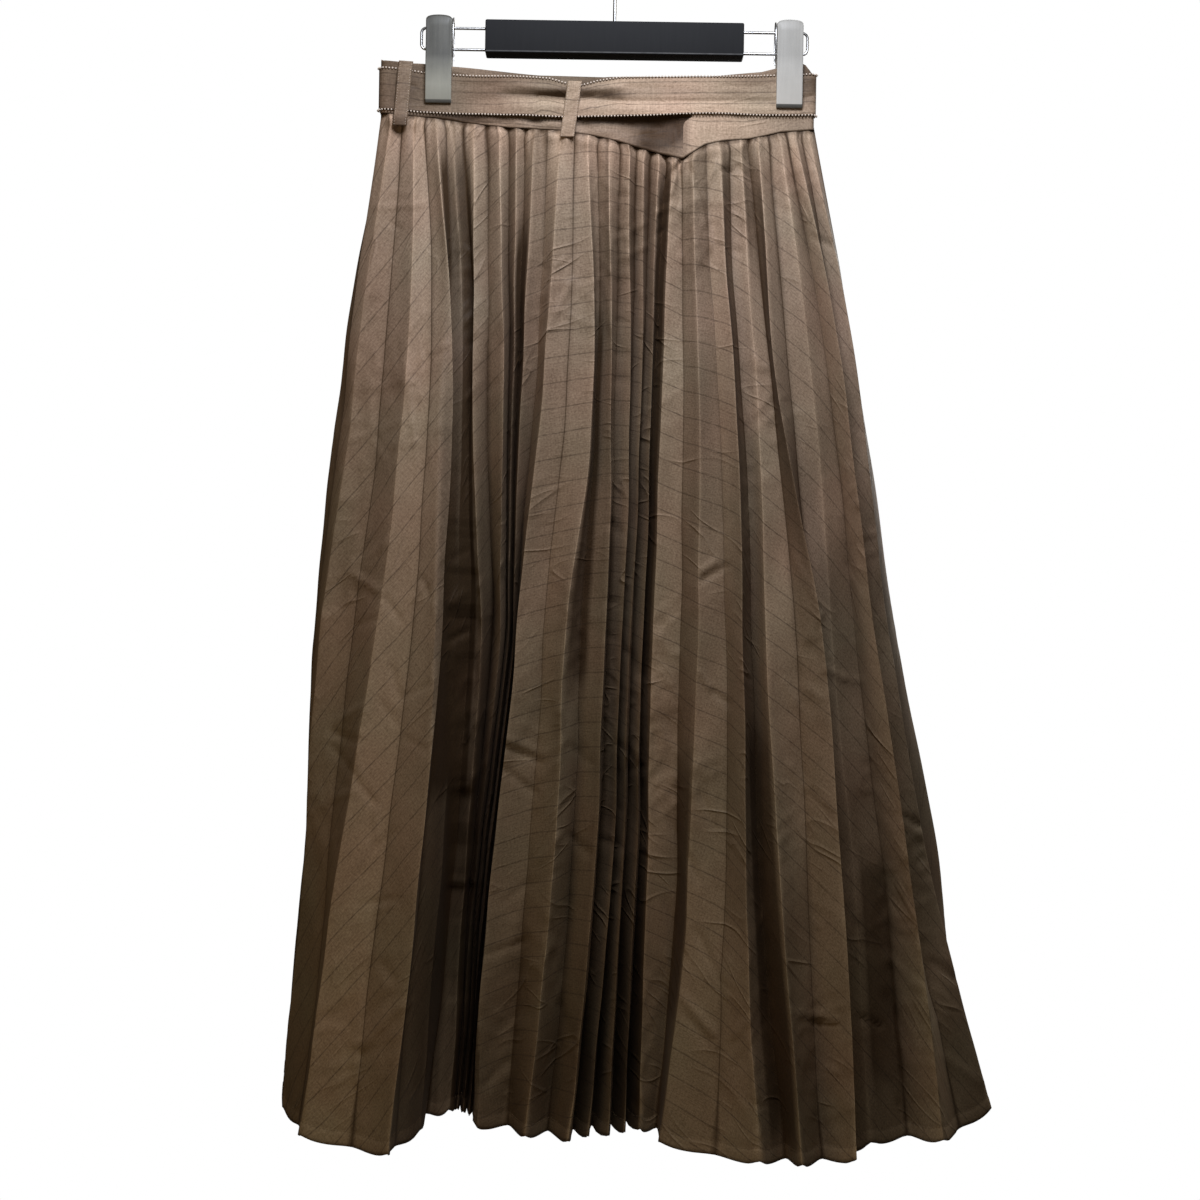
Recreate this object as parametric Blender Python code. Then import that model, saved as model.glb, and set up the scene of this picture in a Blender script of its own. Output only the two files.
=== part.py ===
"""A pleated maxi skirt with its own sash belt, clipped to a hanger.

Frame: +Z up, +X to the viewer's right, +Y away from the viewer.
The origin is the inner top of the hanger's hook, where a rod carries it.
Every size below is in millimetres; MM turns it into metres.
A depth is a distance towards the viewer, so y = -depth.
"""
import math

import bmesh
import bpy
from mathutils import Vector

MM = 0.001

# ---- cloth -------------------------------------------------------------------
WALL = 1.2               # thickness of every cloth wall
GAP = 0.3                # clearance between pieces that touch
WAIST_LEVEL = -159.0     # height of the level that lengths down the cloth start from
CLOTH_LENGTH = 814.0     # from the waist level down the cloth to the hem
FACE_AT_WAIST = 10.8     # width of one pleat face at the waist level
FACE_AT_HEM = 41.0       # width of one pleat face at the hem
LONGEST_MITRE = 6.5      # how many walls thick the cloth may be across one sharp fold
SEWN_PLEAT = 0.32        # share of a pleat's height that is left where it is sewn to the band
SEWN_LENGTH = 34.0       # length over which a pleat opens below the band
ROWS = (
    0.0, 0.018, 0.045, 0.085, 0.14, 0.2, 0.26, 0.32, 0.38, 0.45, 0.53, 0.62, 0.71, 0.81, 0.91, 1.0,
)

MIDDLE_DEPTH = -103.0    # depth of the surface midway between front and back, at the hem
MIDDLE_POWER = 1.9       # how late on the way down that surface falls back
MIDDLE_CLEAR = 1.6       # least room kept between that surface and any cloth

# Lengths down the cloth at which the fold tables give their places
STATIONS = (0.0, 216.0, 416.0, 624.0, 814.0)
DEPTH_STATIONS = (0.0, 216.0, 814.0)

# The lower edge of the front waistband: (x, z). It dips to a point where the flap ends.
FRONT_SEAM = (
    (-190, -156), (-144, -159), (-115, -163), (-82, -167.5), (-42, -169.5), (-16, -173.5), (5, -178),
    (18, -182), (38, -187.5), (55.5, -191), (63, -186), (72.5, -179.5), (88, -175.5), (110, -172.5),
    (134, -166.5), (164, -164),
)

# The outer folds of the front panel, left to right. x at the seam, hip, knee, calf and hem,
# then the depth at the hip and at the hem.
FRONT_FOLDS = (
    # name            seam   hip  knee  calf   hem   hip depth  hem depth
    ("side_left",     -178, -204, -230, -246, -260,    0,  -50),
    ("lobe_left",     -158, -160, -182, -211, -236,   22,   32),
    ("lobe_edge",     -142, -123, -129, -142, -158,   32,   84),
    ("gap_left",      -129, -116, -121, -130, -144,    4,   -4),
    ("gap_floor",     -110, -108, -101, -112, -124,   20,  -44),
    ("narrow",         -92,  -84,  -86, -104, -118,   18,  -52),
    ("tuck_a",         -77,  -77,  -80,  -99, -113,    8,  -46),
    ("tuck_b",         -62,  -70,  -75,  -94, -108,   13,  -34),
    ("flat_left",      -42,  -53,  -71,  -90, -103,   24,   -8),
    ("flat_mid",       -20,  -15,  -31,  -41,  -57,   24,   16),
    ("flat_edge",       -3,   -1,   -2,  -11,  -24,   20,   26),
    ("closed_a",        12,   14,   11,    3,  -10,   15,    9),
    ("closed_b",        26,   23,   18,   12,    6,   11,    4),
    ("closed_c",        37,   31,   28,   23,   19,    9,   -8),
    ("closed_d",        48,   41,   37,   33,   31,   14,  -18),
    ("fan_a",           63,   70,   72,   67,   48,   26,   22),
    ("fan_b",           82,   99,  106,  112,  122,   30,   82),
    ("fan_c",          100,  117,  124,  137,  154,   17,  110),
    ("fan_d",          115,  132,  167,  184,  197,   36,   94),
    ("fan_e",          130,  162,  178,  200,  215,   20,   26),
    ("fan_f",          144,  185,  211,  243,  270,   30,   44),
    ("side_right",     154,  200,  227,  268,  322,    8,  -26),
)
FRONT_SIDES = (
    # the two side seams, where the front and back panels meet
    ("seam_left",     -186, -213, -236, -250, -266,  -10,  -88),
    ("seam_right",     160,  200,  228,  268,  316,   -4,  -68),
)

# The outer folds of the back panel, left to right, with the pleats from the row before.
BACK_FOLDS = (
    # pleats   seam   hip  knee  calf   hem   hip depth  hem depth
    (1,        -183, -220, -241, -254, -274,  -26, -138),
    (2,        -150, -180, -198, -208, -220,  -44, -198),
    (2,        -118, -140, -152, -160, -170,  -30, -148),
    (3,         -84,  -98, -106, -114, -122,  -48, -208),
    (2,         -56,  -62,  -66,  -71,  -76,  -32, -156),
    (3,         -20,  -18,  -15,  -12,   -9,  -50, -214),
    (2,          14,   24,   31,   38,   45,  -32, -158),
    (3,          52,   66,   78,   90,  102,  -48, -210),
    (2,          84,  104,  121,  137,  153,  -30, -150),
    (2,         116,  146,  169,  191,  214,  -40, -192),
    (2,         142,  182,  212,  246,  276,  -28, -146),
    (1,         158,  204,  238,  284,  306,  -16, -104),
)

# ---- waistband, belt and loops -------------------------------------------------
WAIST_LEFT = -186.0
WAIST_RIGHT = 160.0
WAIST_END_ROUND = 5.0    # length over which the flat waist closes at each side
WAIST_STEPS = 36         # even spaces along the flat waist
ROUND_SHARES = (0.02, 0.08, 0.2, 0.4, 0.7)   # more places within each rounded end
STRIP_ROWS = 4           # rows of faces down a band or the belt
# Depth of the band's middle surface: clipped shut at the jaws, a little open elsewhere
WAIST_OPEN = (
    (-186, 4.2), (-172, 4.6), (-152, 0.9), (-128, 0.9), (-60, 8.4), (5, 9.4), (60, 8.6), (128, 0.9),
    (152, 0.9), (160, 2.4),
)
BAND_FLARE = 0.09        # how much the band leans outwards below the jaws
BAND_FLARE_FROM = -148.0
# The band stands above the belt beside the clips and lies hidden behind it between them
BAND_TOP_FRONT = (
    (-190, -113.5), (-149, -117), (-127, -121), (-110, -125.5), (-75, -129), (-50, -131.5), (-36, -132),
    (-30, -129.2), (-19, -127.3), (-3, -126), (25, -125.4), (68, -125.2), (104, -122.8), (118, -120.5),
    (128, -117.5), (140, -113), (150, -111), (154, -113), (158, -119), (164, -120),
)
BAND_TOP_BACK = (
    (-190, -112), (-128, -117), (-60, -121), (0, -121.5), (78, -120), (118, -117.5), (140, -112),
    (150, -110), (154, -112), (158, -119), (164, -120),
)
BACK_SEAM = ((-190, -156), (-13, -160), (164, -160))
FLAP_EDGE = 55.5         # left edge of the right-hand waistband piece, which laps over
FLAP_UNDER = 84.0        # how far the left-hand piece runs on behind it
FLAP_EASE = 18.0         # length over which the flap comes down to the band's own level
BELT_TOP_FRONT = (
    (-190, -119.7), (-149, -123.6), (-107, -126), (-75, -127.6), (-51, -129.1), (-38, -132.6), (-31, -133.8),
    (-24, -133.9), (-13, -130.6), (5, -127.5), (37, -126.3), (84, -124.8), (118, -122), (150, -120.4),
    (164, -120),
)
BELT_BOTTOM_FRONT = (
    (-190, -153), (-160, -154.5), (-107, -156), (-88, -157.4), (-40, -159.3), (5, -158), (29, -157),
    (53, -155.3), (95, -153.4), (164, -152.4),
)
BELT_TOP_BACK = ((-190, -119.7), (-128, -121.5), (-13, -124), (78, -122.5), (164, -120))
BELT_BOTTOM_BACK = ((-190, -153), (-13, -155), (164, -152.4))
BELT_SLACK = 2.3         # how far the belt stands off the front between the jaws
BELT_HELD = 118.0        # the belt lies close outside this distance from the middle,
BELT_EASE = 40.0         # and reaches its full slack this much further in
LOOP_WIDTH = 11.0
LOOP_WALL = 1.1
LOOP_SLACK = 0.7         # more room between the belt and a loop than the least gap
LOOP_FOOT = 3.2          # how far a loop's free end stands off the band
# Belt loops: name, side (+1 front, -1 back), x at the top and bottom, z at the bottom, and how
# far the strap runs on above the belt to the band's own top edge
LOOPS = (
    ("belt_loop_left", 1, -166.0, -170.0, -167.0, 6.0),
    ("belt_loop_centre", 1, -31.0, -36.5, -175.5, 0.0),
    ("belt_loop_back", -1, -13.0, -13.0, -168.0, 0.0),
)

# ---- hanger --------------------------------------------------------------------
BAR_LENGTH = 206.0
BAR_HEIGHT = 25.0
BAR_DEPTH = 20.0
BAR_TOP = -80.0
BAR_ROUND = 2.2
RAIL_WIRE = 2.2
RAIL_TOP = -86.5
RAIL_PITCH = 17.0
RAIL_REACH = 155.5       # outer end of the rail loops from the middle
CLIP_AT = 140.0
CLIP_WIDTH = 20.8
CLIP_TOP = -76.0
CLIP_BOTTOM = -147.5
CLIP_BACK_BOTTOM = -146.0
CLIP_LIP = 3.2           # thickness of a jaw just above its lip
CLIP_LIP_TAPER = 0.6     # how much the lip thins at its tip, and thickens above it
CLIP_LIP_HEIGHT = 4.0
CLIP_LEG = 34.0          # height at which a jaw has come out to its full thickness
CLIP_HEAD = 5.2          # thickness of a jaw at its head
CLIP_SHOULDER = 2.0
JAW_STEP = -113.5        # above this a jaw comes in to meet the slider
JAW_STEP_HEIGHT = 2.5
SLIDER_WIDTH = 12.0
SLIDER_DEPTH = 2.4       # half the depth of the block that the rails pass through
SLIDER_TOP = -80.5
SLIDER_BOTTOM = -106.6
BORE_SIDES = 12
HOOK_WIRE = 3.0
HOOK_INNER = 17.0        # inner radius of the hook, which a rod up to 32 mm passes
HOOK_STEPS = 26
HOOK_TIP_ANGLE = 205.0   # angles round the hook, from +X towards +Z
HOOK_JOIN_ANGLE = -38.0
NECK_DROP = 21.6         # the stem bends aside over this height below the sweep
NECK_STIFF = 12.8        # how far up the stem's own line the bend still leans on it
NECK_LEAD = (-9.0, -7.5)  # the way in which the bend comes up to the sweep
NECK_STEPS = 7

TAUPE = (0.31, 0.235, 0.18)
TAUPE_DARK = (0.27, 0.2, 0.155)


# ---- small tools -----------------------------------------------------------------
def material(name, colour, roughness, metallic=0.0):
    mat = bpy.data.materials.new(name)
    mat.use_nodes = True
    shader = mat.node_tree.nodes["Principled BSDF"]
    shader.inputs["Base Color"].default_value = (*colour, 1.0)
    shader.inputs["Roughness"].default_value = roughness
    shader.inputs["Metallic"].default_value = metallic
    mat.diffuse_color = (*colour, 1.0)
    return mat


def place(x, depth, z):
    """A point in metres from millimetres and a depth towards the viewer."""
    return Vector((x * MM, -depth * MM, z * MM))


def add_object(name, mesh, mat):
    obj = bpy.data.objects.new(name, mesh)
    bpy.context.scene.collection.objects.link(obj)
    mesh.materials.append(mat)
    return obj


def straight(table, x):
    """Read a two-column table at x, with straight lines between its rows."""
    for (x0, v0), (x1, v1) in zip(table, table[1:]):
        if x <= x1:
            share = max(0.0, (x - x0) / (x1 - x0))
            return v0 + (v1 - v0) * share
    return table[-1][1]


def smooth(stations, values, at):
    """Read values at the given stations along one smooth curve."""
    count = len(stations)
    slopes = []
    for i in range(count):
        low = max(0, i - 1)
        high = min(count - 1, i + 1)
        slopes.append((values[high] - values[low]) / (stations[high] - stations[low]))
    k = 0
    while k < count - 2 and at > stations[k + 1]:
        k += 1
    span = stations[k + 1] - stations[k]
    t = (at - stations[k]) / span
    t2 = t * t
    t3 = t2 * t
    return (
        (2 * t3 - 3 * t2 + 1) * values[k]
        + (t3 - 2 * t2 + t) * span * slopes[k]
        + (3 * t2 - 2 * t3) * values[k + 1]
        + (t3 - t2) * span * slopes[k + 1]
    )


def wall_mesh(name, outer, inner, ring=False):
    """A closed wall between two grids of points; ring joins the last column to the first."""
    bm = bmesh.new()
    out = [[bm.verts.new(p) for p in row] for row in outer]
    inn = [[bm.verts.new(p) for p in row] for row in inner]
    rows = len(out)
    cols = len(out[0])
    steps = cols if ring else cols - 1

    def quad(a, b, c, d):
        bm.faces.new((a, b, c))
        bm.faces.new((a, c, d))

    for r in range(rows - 1):
        for c in range(steps):
            n = (c + 1) % cols
            quad(out[r][c], out[r][n], out[r + 1][n], out[r + 1][c])
            quad(inn[r][c], inn[r + 1][c], inn[r + 1][n], inn[r][n])
    for c in range(steps):
        n = (c + 1) % cols
        quad(inn[0][c], inn[0][n], out[0][n], out[0][c])
        quad(out[-1][c], out[-1][n], inn[-1][n], inn[-1][c])
    if not ring:
        for r in range(rows - 1):
            quad(out[r][0], out[r + 1][0], inn[r + 1][0], inn[r][0])
            quad(inn[r][-1], inn[r + 1][-1], out[r + 1][-1], out[r][-1])
    bmesh.ops.recalc_face_normals(bm, faces=bm.faces)
    mesh = bpy.data.meshes.new(name)
    bm.to_mesh(mesh)
    bm.free()
    return mesh


# ---- the waist's plan ------------------------------------------------------------
def end_round(x):
    """Falls from one to nought at each end of the flat waist, along a quarter circle."""
    inset = min(x - WAIST_LEFT, WAIST_RIGHT - x)
    if inset >= WAIST_END_ROUND:
        return 1.0
    share = 1.0 - max(0.0, inset) / WAIST_END_ROUND
    return math.sqrt(max(0.0, 1.0 - share * share))


def band_depth(x, z):
    """Depth of the band's middle surface from the plane between front and back."""
    lean = BAND_FLARE * max(0.0, BAND_FLARE_FROM - z)
    return GAP / 2 + (waist_open(x) + lean) * end_round(x)


def waist_open(x):
    """How far the waist stands open at x, easing in and out at every row of its table."""
    for (x0, v0), (x1, v1) in zip(WAIST_OPEN, WAIST_OPEN[1:]):
        if x <= x1:
            share = max(0.0, (x - x0) / (x1 - x0))
            return v0 + (v1 - v0) * share * share * (3 - 2 * share)
    return WAIST_OPEN[-1][1]


def waist_stations(start, end, turns=()):
    """Places along x that the pieces of the waist share, closer together at its two ends.

    Each turn of a seam is a place too, and takes the place of any that lies close to it.
    """
    span = WAIST_RIGHT - WAIST_LEFT
    even = [WAIST_LEFT + span * i / WAIST_STEPS for i in range(WAIST_STEPS + 1)]
    rounded = []
    for share in ROUND_SHARES:
        rounded.append(WAIST_LEFT + WAIST_END_ROUND * share)
        rounded.append(WAIST_RIGHT - WAIST_END_ROUND * share)
    clear = [x for x in even + rounded if all(abs(x - turn) > 1.5 for turn in turns)]
    inside = [x for x in clear + list(turns) if start + 1.0 < x < end - 1.0]
    near_ends = [x for x in clear if start < x < end and end_round(x) < 0.5]
    return sorted(set([start, end] + inside + near_ends))


def offset_line(line, distance):
    """Move a plan line of (x, depth) sideways; positive is to the left of its direction."""
    moved = []
    last = len(line) - 1
    for i, (x, d) in enumerate(line):
        before = line[max(0, i - 1)]
        after = line[min(last, i + 1)]
        along = Vector((after[0] - before[0], after[1] - before[1])).normalized()
        moved.append((x - along.y * distance, d + along.x * distance))
    return moved


def strip_row(xs, side, heights, lift):
    """One row of a strip: its points on the far and on the near face of the cloth."""
    line = [(x, band_depth(x, z)) for x, z in zip(xs, heights)]
    faces = []
    for wall in (WALL / 2, -WALL / 2):
        shifts = [offset_line(line, lift(x) + wall)[i] for i, x in enumerate(xs)]
        faces.append([place(x, side * depth, z) for (x, depth), z in zip(shifts, heights)])
    return faces


def strip(name, xs, side, top, bottom, lift):
    """A band of cloth along the waist. lift(x) stands it off the band's middle surface."""
    outer = []
    inner = []
    for r in range(STRIP_ROWS + 1):
        share = r / STRIP_ROWS
        heights = [straight(top, x) * (1 - share) + straight(bottom, x) * share for x in xs]
        far, near = strip_row(xs, side, heights, lift)
        for line in (far, near):
            for end, limit in ((0, WAIST_LEFT), (-1, WAIST_RIGHT)):
                if abs(xs[end] - limit) < 0.01:
                    line[end].y = -side * GAP / 2 * MM
        outer.append(far)
        inner.append(near)
    return wall_mesh(name, outer, inner)


def band_lift(x):
    return 0.0


def flap_lift(x):
    """The right-hand waistband lies over the left-hand one, then comes down to its level."""
    over = WALL + GAP
    share = min(1.0, max(0.0, (x - FLAP_UNDER - 2.0) / FLAP_EASE))
    return over * (1 - share * share * (3 - 2 * share))


def build_waistbands():
    turns = [x for x, z in FRONT_SEAM[1:-1]]
    left_x = waist_stations(WAIST_LEFT, FLAP_UNDER, turns)
    right_x = waist_stations(FLAP_EDGE, WAIST_RIGHT, turns)
    back_x = waist_stations(WAIST_LEFT, WAIST_RIGHT)
    pieces = (
        ("waistband_front_left", left_x, 1, BAND_TOP_FRONT, FRONT_SEAM, band_lift),
        ("waistband_front_right", right_x, 1, BAND_TOP_FRONT, FRONT_SEAM, flap_lift),
        ("waistband_back", back_x, -1, BAND_TOP_BACK, BACK_SEAM, band_lift),
    )
    for name, xs, side, top, bottom, lift in pieces:
        mesh = strip(name, xs, side, top, bottom, lift)
        add_object(name, mesh, material(name, TAUPE, 0.75))


def belt_lift_front(x):
    """How far the belt's middle lies outside the band's middle."""
    inner = min(1.0, max(0.0, (BELT_HELD - abs(x)) / BELT_EASE))
    return WALL + GAP + BELT_SLACK * inner * inner * (3 - 2 * inner)


def belt_lift_back(x):
    return WALL + GAP


def build_belt():
    """The sash: one closed ring of cloth round the waistband."""
    xs = waist_stations(WAIST_LEFT, WAIST_RIGHT)
    sides = (
        (1, BELT_TOP_FRONT, BELT_BOTTOM_FRONT, belt_lift_front),
        (-1, BELT_TOP_BACK, BELT_BOTTOM_BACK, belt_lift_back),
    )
    outer = []
    inner = []
    for r in range(STRIP_ROWS + 1):
        share = r / STRIP_ROWS
        far_ring = []
        near_ring = []
        for side, top, bottom, lift in sides:
            heights = [straight(top, x) * (1 - share) + straight(bottom, x) * share for x in xs]
            far, near = strip_row(xs, side, heights, lift)
            far_ring.extend(far if side > 0 else reversed(far))
            near_ring.extend(near if side > 0 else reversed(near))
        outer.append(far_ring)
        inner.append(near_ring)
    add_object("belt", wall_mesh("belt", outer, inner, ring=True), material("belt", TAUPE, 0.7))


def build_loop(name, side, x_top, x_bottom, z_bottom, above):
    """A strap from the band, over the belt's top edge and down past its lower edge."""
    belt_top_table = BELT_TOP_FRONT if side > 0 else BELT_TOP_BACK
    belt_top = max(straight(belt_top_table, x_top + shift * LOOP_WIDTH) for shift in (-0.6, 0.0, 0.6))
    belt_bottom = straight(BELT_BOTTOM_FRONT if side > 0 else BELT_BOTTOM_BACK, x_top)
    half = LOOP_WALL / 2
    clear = WALL / 2 + GAP + half
    crest = belt_top + GAP + half
    band = band_depth(x_top, belt_top) + clear
    lift = belt_lift_front(x_top) if side > 0 else belt_lift_back(x_top)
    front = band_depth(x_top, belt_bottom) + lift + clear + LOOP_SLACK
    foot = band_depth(x_top, z_bottom) + clear + LOOP_FOOT
    head = [(band, crest + above), (band, crest + 1.8)] if above > 0 else [(band, crest + 0.4)]
    path = head + [
        (band + 0.5 * (front - band), crest + 0.8), (front, crest - 0.8), (front, belt_top - 8.0),
        (front, belt_bottom - 1.0), (0.5 * (front + foot) + 0.4, belt_bottom - 5.0), (foot, z_bottom),
    ]
    outer = []
    inner = []
    last = len(path) - 1
    for i, (d, z) in enumerate(path):
        before = path[max(0, i - 1)]
        after = path[min(last, i + 1)]
        along = Vector((after[0] - before[0], after[1] - before[1])).normalized()
        across = Vector((-along.y, along.x)) * half
        fall = (path[0][1] - z) / (path[0][1] - z_bottom)
        x = x_top + (x_bottom - x_top) * fall
        far = []
        near = []
        for px in (x - LOOP_WIDTH / 2, x, x + LOOP_WIDTH / 2):
            bent = d + band_depth(px, z) - band_depth(x, z)
            far.append(place(px, side * (bent + across.x), z + across.y))
            near.append(place(px, side * (bent - across.x), z - across.y))
        outer.append(far)
        inner.append(near)
    add_object(name, wall_mesh(name, outer, inner), material(name, TAUPE, 0.75))


# ---- the pleated panels ------------------------------------------------------------
def seam_height(x, side):
    return straight(FRONT_SEAM if side > 0 else BACK_SEAM, x)


def seam_depth(x, side):
    """Depth at which a pleat's outer fold leaves the band."""
    z = seam_height(x, side)
    inside = max(WAIST_LEFT + 1.5, min(WAIST_RIGHT - 1.5, x))
    lift = flap_lift(x) if side > 0 and x >= FLAP_EDGE else 0.0
    return side * (band_depth(inside, z) + lift + WALL)


def fold_line(folds, side):
    """One fold's reader: a function of length down the cloth that gives (x, depth)."""
    xs = folds[:5]
    hip_depth, hem_depth = folds[5:]
    depths = (seam_depth(xs[0], side), hip_depth, hem_depth)

    def read(length):
        return Vector((smooth(STATIONS, xs, length), smooth(DEPTH_STATIONS, depths, length)))

    return read


def front_lines():
    return [fold_line(row[1:], 1) for row in FRONT_FOLDS]


def back_lines():
    """The back's rows give its lobes; the pleats between two rows follow a soft wave."""
    lines = []
    before = None
    for number, row in enumerate(BACK_FOLDS):
        pleats = row[0]
        numbers = row[1:]
        for step in range(1, pleats + 1):
            share = step / pleats
            wave = share * share * (3 - 2 * share)
            uneven = 0.0 if step == pleats else 0.07 * math.sin(2.6 * number + 1.9 * step)
            if before is None:
                mixed = numbers
            else:
                mixed = [a + (b - a) * (share + uneven) for a, b in zip(before[:5], numbers[:5])]
                mixed += [a + (b - a) * wave for a, b in zip(before[5:], numbers[5:])]
            lines.append(fold_line(mixed, -1))
        before = numbers
    return lines


def side_lines(side):
    """The side seams, which both panels share, half a gap apart."""
    lines = []
    for row in FRONT_SIDES:
        numbers = row[1:]
        xs = numbers[:5]
        depths = (0.0, numbers[5], numbers[6])

        def read(length, xs=xs, depths=depths):
            depth = smooth(DEPTH_STATIONS, depths, length)
            return Vector((smooth(STATIONS, xs, length), depth + side * GAP / 2))

        lines.append(read)
    return lines


def face_width(length):
    return FACE_AT_WAIST + (FACE_AT_HEM - FACE_AT_WAIST) * length / CLOTH_LENGTH


def middle_depth(length):
    return MIDDLE_DEPTH * (max(0.0, length) / CLOTH_LENGTH) ** MIDDLE_POWER


def pleat_section(folds, ends, side, length, opened):
    """Plan points of one row: every outer fold and the inner folds between.

    Each inner fold lies one face width from both of its outer folds, so a pleat whose
    outer folds are close is deep, and one that is pulled wide is shallow. Where front
    and back lie close together the pleats are pressed flatter.
    """
    width = face_width(length)
    back = Vector((0.0, -side))
    middle = middle_depth(length)
    points = [ends[0]]
    for i, fold in enumerate(folds):
        points.append(fold)
        if i == len(folds) - 1:
            break
        chord = folds[i + 1] - fold
        centre = (fold + folds[i + 1]) / 2
        half = chord.length / 2
        height = math.sqrt(max(width * width - half * half, (0.22 * width) ** 2)) * opened
        across = Vector((chord.y, -chord.x)).normalized() * side
        shut = min(1.0, max(0.0, 1.6 * (1.0 - half / width)))
        way = (across * (1 - shut) + back * shut).normalized()
        room = (centre.y - middle) * side - MIDDLE_CLEAR - WALL
        if way.y * side < 0:
            height = min(height, max(0.4, room / (-way.y * side)))
        points.append(centre + way * height)
    points.append(ends[1])
    return points


def inner_section(points, side):
    """The same section one wall further in, mitred at every fold."""
    inner = []
    last = len(points) - 1
    for k, point in enumerate(points):
        if k in (0, last):
            along = (points[1] - points[0] if k == 0 else points[last] - points[last - 1]).normalized()
            aside = min(1.8, 1.0 / max(0.1, abs(along.y)))
            inner.append(point + Vector((WALL * aside if k == 0 else -WALL * aside, 0.0)))
            continue
        arriving = (point - points[k - 1]).normalized()
        leaving = (points[k + 1] - point).normalized()
        first = Vector((arriving.y, -arriving.x)) * side
        second = Vector((leaving.y, -leaving.x)) * side
        way = (first + second).normalized()
        mitre = min(LONGEST_MITRE, 1.0 / max(0.05, way.dot(first)))
        inner.append(point + way * WALL * mitre)
    return inner


def build_panel(name, fold_lines, side, colour):
    ends = side_lines(side)
    heads = [ends[0]] + fold_lines + [ends[1]]
    head_x = [line(0.0).x for line in heads]
    sewn_tops = []
    for a, b in zip(head_x, head_x[1:]):
        sewn_tops.append(a)
        sewn_tops.append((a + b) / 2)
    sewn_tops.append(head_x[-1])
    # The first and last inner folds are the side seams themselves
    sewn_tops = [sewn_tops[0]] + sewn_tops[2:-2] + [sewn_tops[-1]]
    starts = [seam_height(x, side) - GAP for x in sewn_tops]
    outer = []
    inner = []
    before = None
    heights = list(starts)
    for share in ROWS:
        lengths = [(WAIST_LEVEL - top) + share * (CLOTH_LENGTH - (WAIST_LEVEL - top)) for top in starts]
        row_length = share * CLOTH_LENGTH
        folds = [line(max(0.0, lengths[2 * i + 1])) for i, line in enumerate(fold_lines)]
        tips = [ends[0](max(0.0, lengths[0])), ends[1](max(0.0, lengths[-1]))]
        opened = SEWN_PLEAT + (1 - SEWN_PLEAT) * min(1.0, row_length / SEWN_LENGTH)
        points = pleat_section(folds, tips, side, row_length, opened)
        if before is not None:
            for k, point in enumerate(points):
                fall = lengths[k] - before[1][k]
                aside = (point - before[0][k]).length
                heights[k] -= math.sqrt(max(fall * fall - aside * aside, (0.6 * fall) ** 2))
        before = (points, lengths)
        outer.append([place(p.x, p.y, z) for p, z in zip(points, heights)])
        inner.append([place(p.x, p.y, z) for p, z in zip(inner_section(points, side), heights)])
    add_object(name, wall_mesh(name, outer, inner), material(name, colour, 0.8))


# ---- the hanger --------------------------------------------------------------------
def box_mesh(name, low, high, rounding, segments=2):
    bm = bmesh.new()
    bmesh.ops.create_cube(bm, size=1.0)
    middle = (Vector(low) + Vector(high)) / 2
    size = Vector(high) - Vector(low)
    for vert in bm.verts:
        vert.co = Vector((vert.co.x * size.x, vert.co.y * size.y, vert.co.z * size.z)) + middle
    if rounding > 0:
        bmesh.ops.bevel(
            bm, geom=bm.edges[:], offset=rounding, offset_type="OFFSET", segments=segments,
            profile=0.5, affect="EDGES",
        )
    bmesh.ops.scale(bm, vec=(MM, MM, MM), verts=bm.verts)
    mesh = bpy.data.meshes.new(name)
    bm.to_mesh(mesh)
    bm.free()
    return mesh


def wire(name, points, diameter, mat, sides=3):
    curve = bpy.data.curves.new(name, "CURVE")
    curve.dimensions = "3D"
    curve.resolution_u = 1
    curve.bevel_depth = diameter / 2 * MM
    curve.bevel_resolution = sides
    curve.use_fill_caps = True
    spline = curve.splines.new("POLY")
    spline.points.add(len(points) - 1)
    for point, (x, depth, z) in zip(spline.points, points):
        point.co = (x * MM, -depth * MM, z * MM, 1.0)
    obj = bpy.data.objects.new(name, curve)
    bpy.context.scene.collection.objects.link(obj)
    curve.materials.append(mat)
    return obj


def arc(centre_x, centre_z, radius, start, end, steps):
    """Points of an arc in the upright plane, angles in degrees from +X towards +Z."""
    points = []
    for i in range(steps + 1):
        angle = math.radians(start + (end - start) * i / steps)
        points.append((centre_x + radius * math.cos(angle), 0.0, centre_z + radius * math.sin(angle)))
    return points


def build_hook():
    """A stem from the bar that bends aside and sweeps over the rod to a free tip."""
    radius = HOOK_INNER + HOOK_WIRE / 2
    centre = HOOK_WIRE / 2 - radius
    sweep = arc(0.0, centre, radius, HOOK_JOIN_ANGLE, HOOK_TIP_ANGLE, HOOK_STEPS)
    start_x, _, start_z = sweep[0]
    foot = BAR_TOP + GAP
    neck = start_z - NECK_DROP
    stem = [(0.0, 0.0, foot), (0.0, 0.0, (foot + neck) / 2), (0.0, 0.0, neck)]
    lead_x = start_x + NECK_LEAD[0]
    lead_z = start_z + NECK_LEAD[1]
    bend = []
    for i in range(1, NECK_STEPS):
        t = i / NECK_STEPS
        s = 1 - t
        x = 3 * s * t * t * lead_x + t ** 3 * start_x
        z = s ** 3 * neck + 3 * s * s * t * (neck + NECK_STIFF) + 3 * s * t * t * lead_z + t ** 3 * start_z
        bend.append((x, 0.0, z))
    wire("hook", stem + bend + sweep, HOOK_WIRE, material("hook", (0.62, 0.62, 0.62), 0.25, 1.0), 4)


def build_bar():
    half = BAR_LENGTH / 2
    low = (-half, -BAR_DEPTH / 2, BAR_TOP - BAR_HEIGHT)
    high = (half, BAR_DEPTH / 2, BAR_TOP)
    mesh = box_mesh("bar", low, high, BAR_ROUND)
    add_object("hanger_bar", mesh, material("hanger_bar", (0.02, 0.022, 0.026), 0.4))


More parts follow.
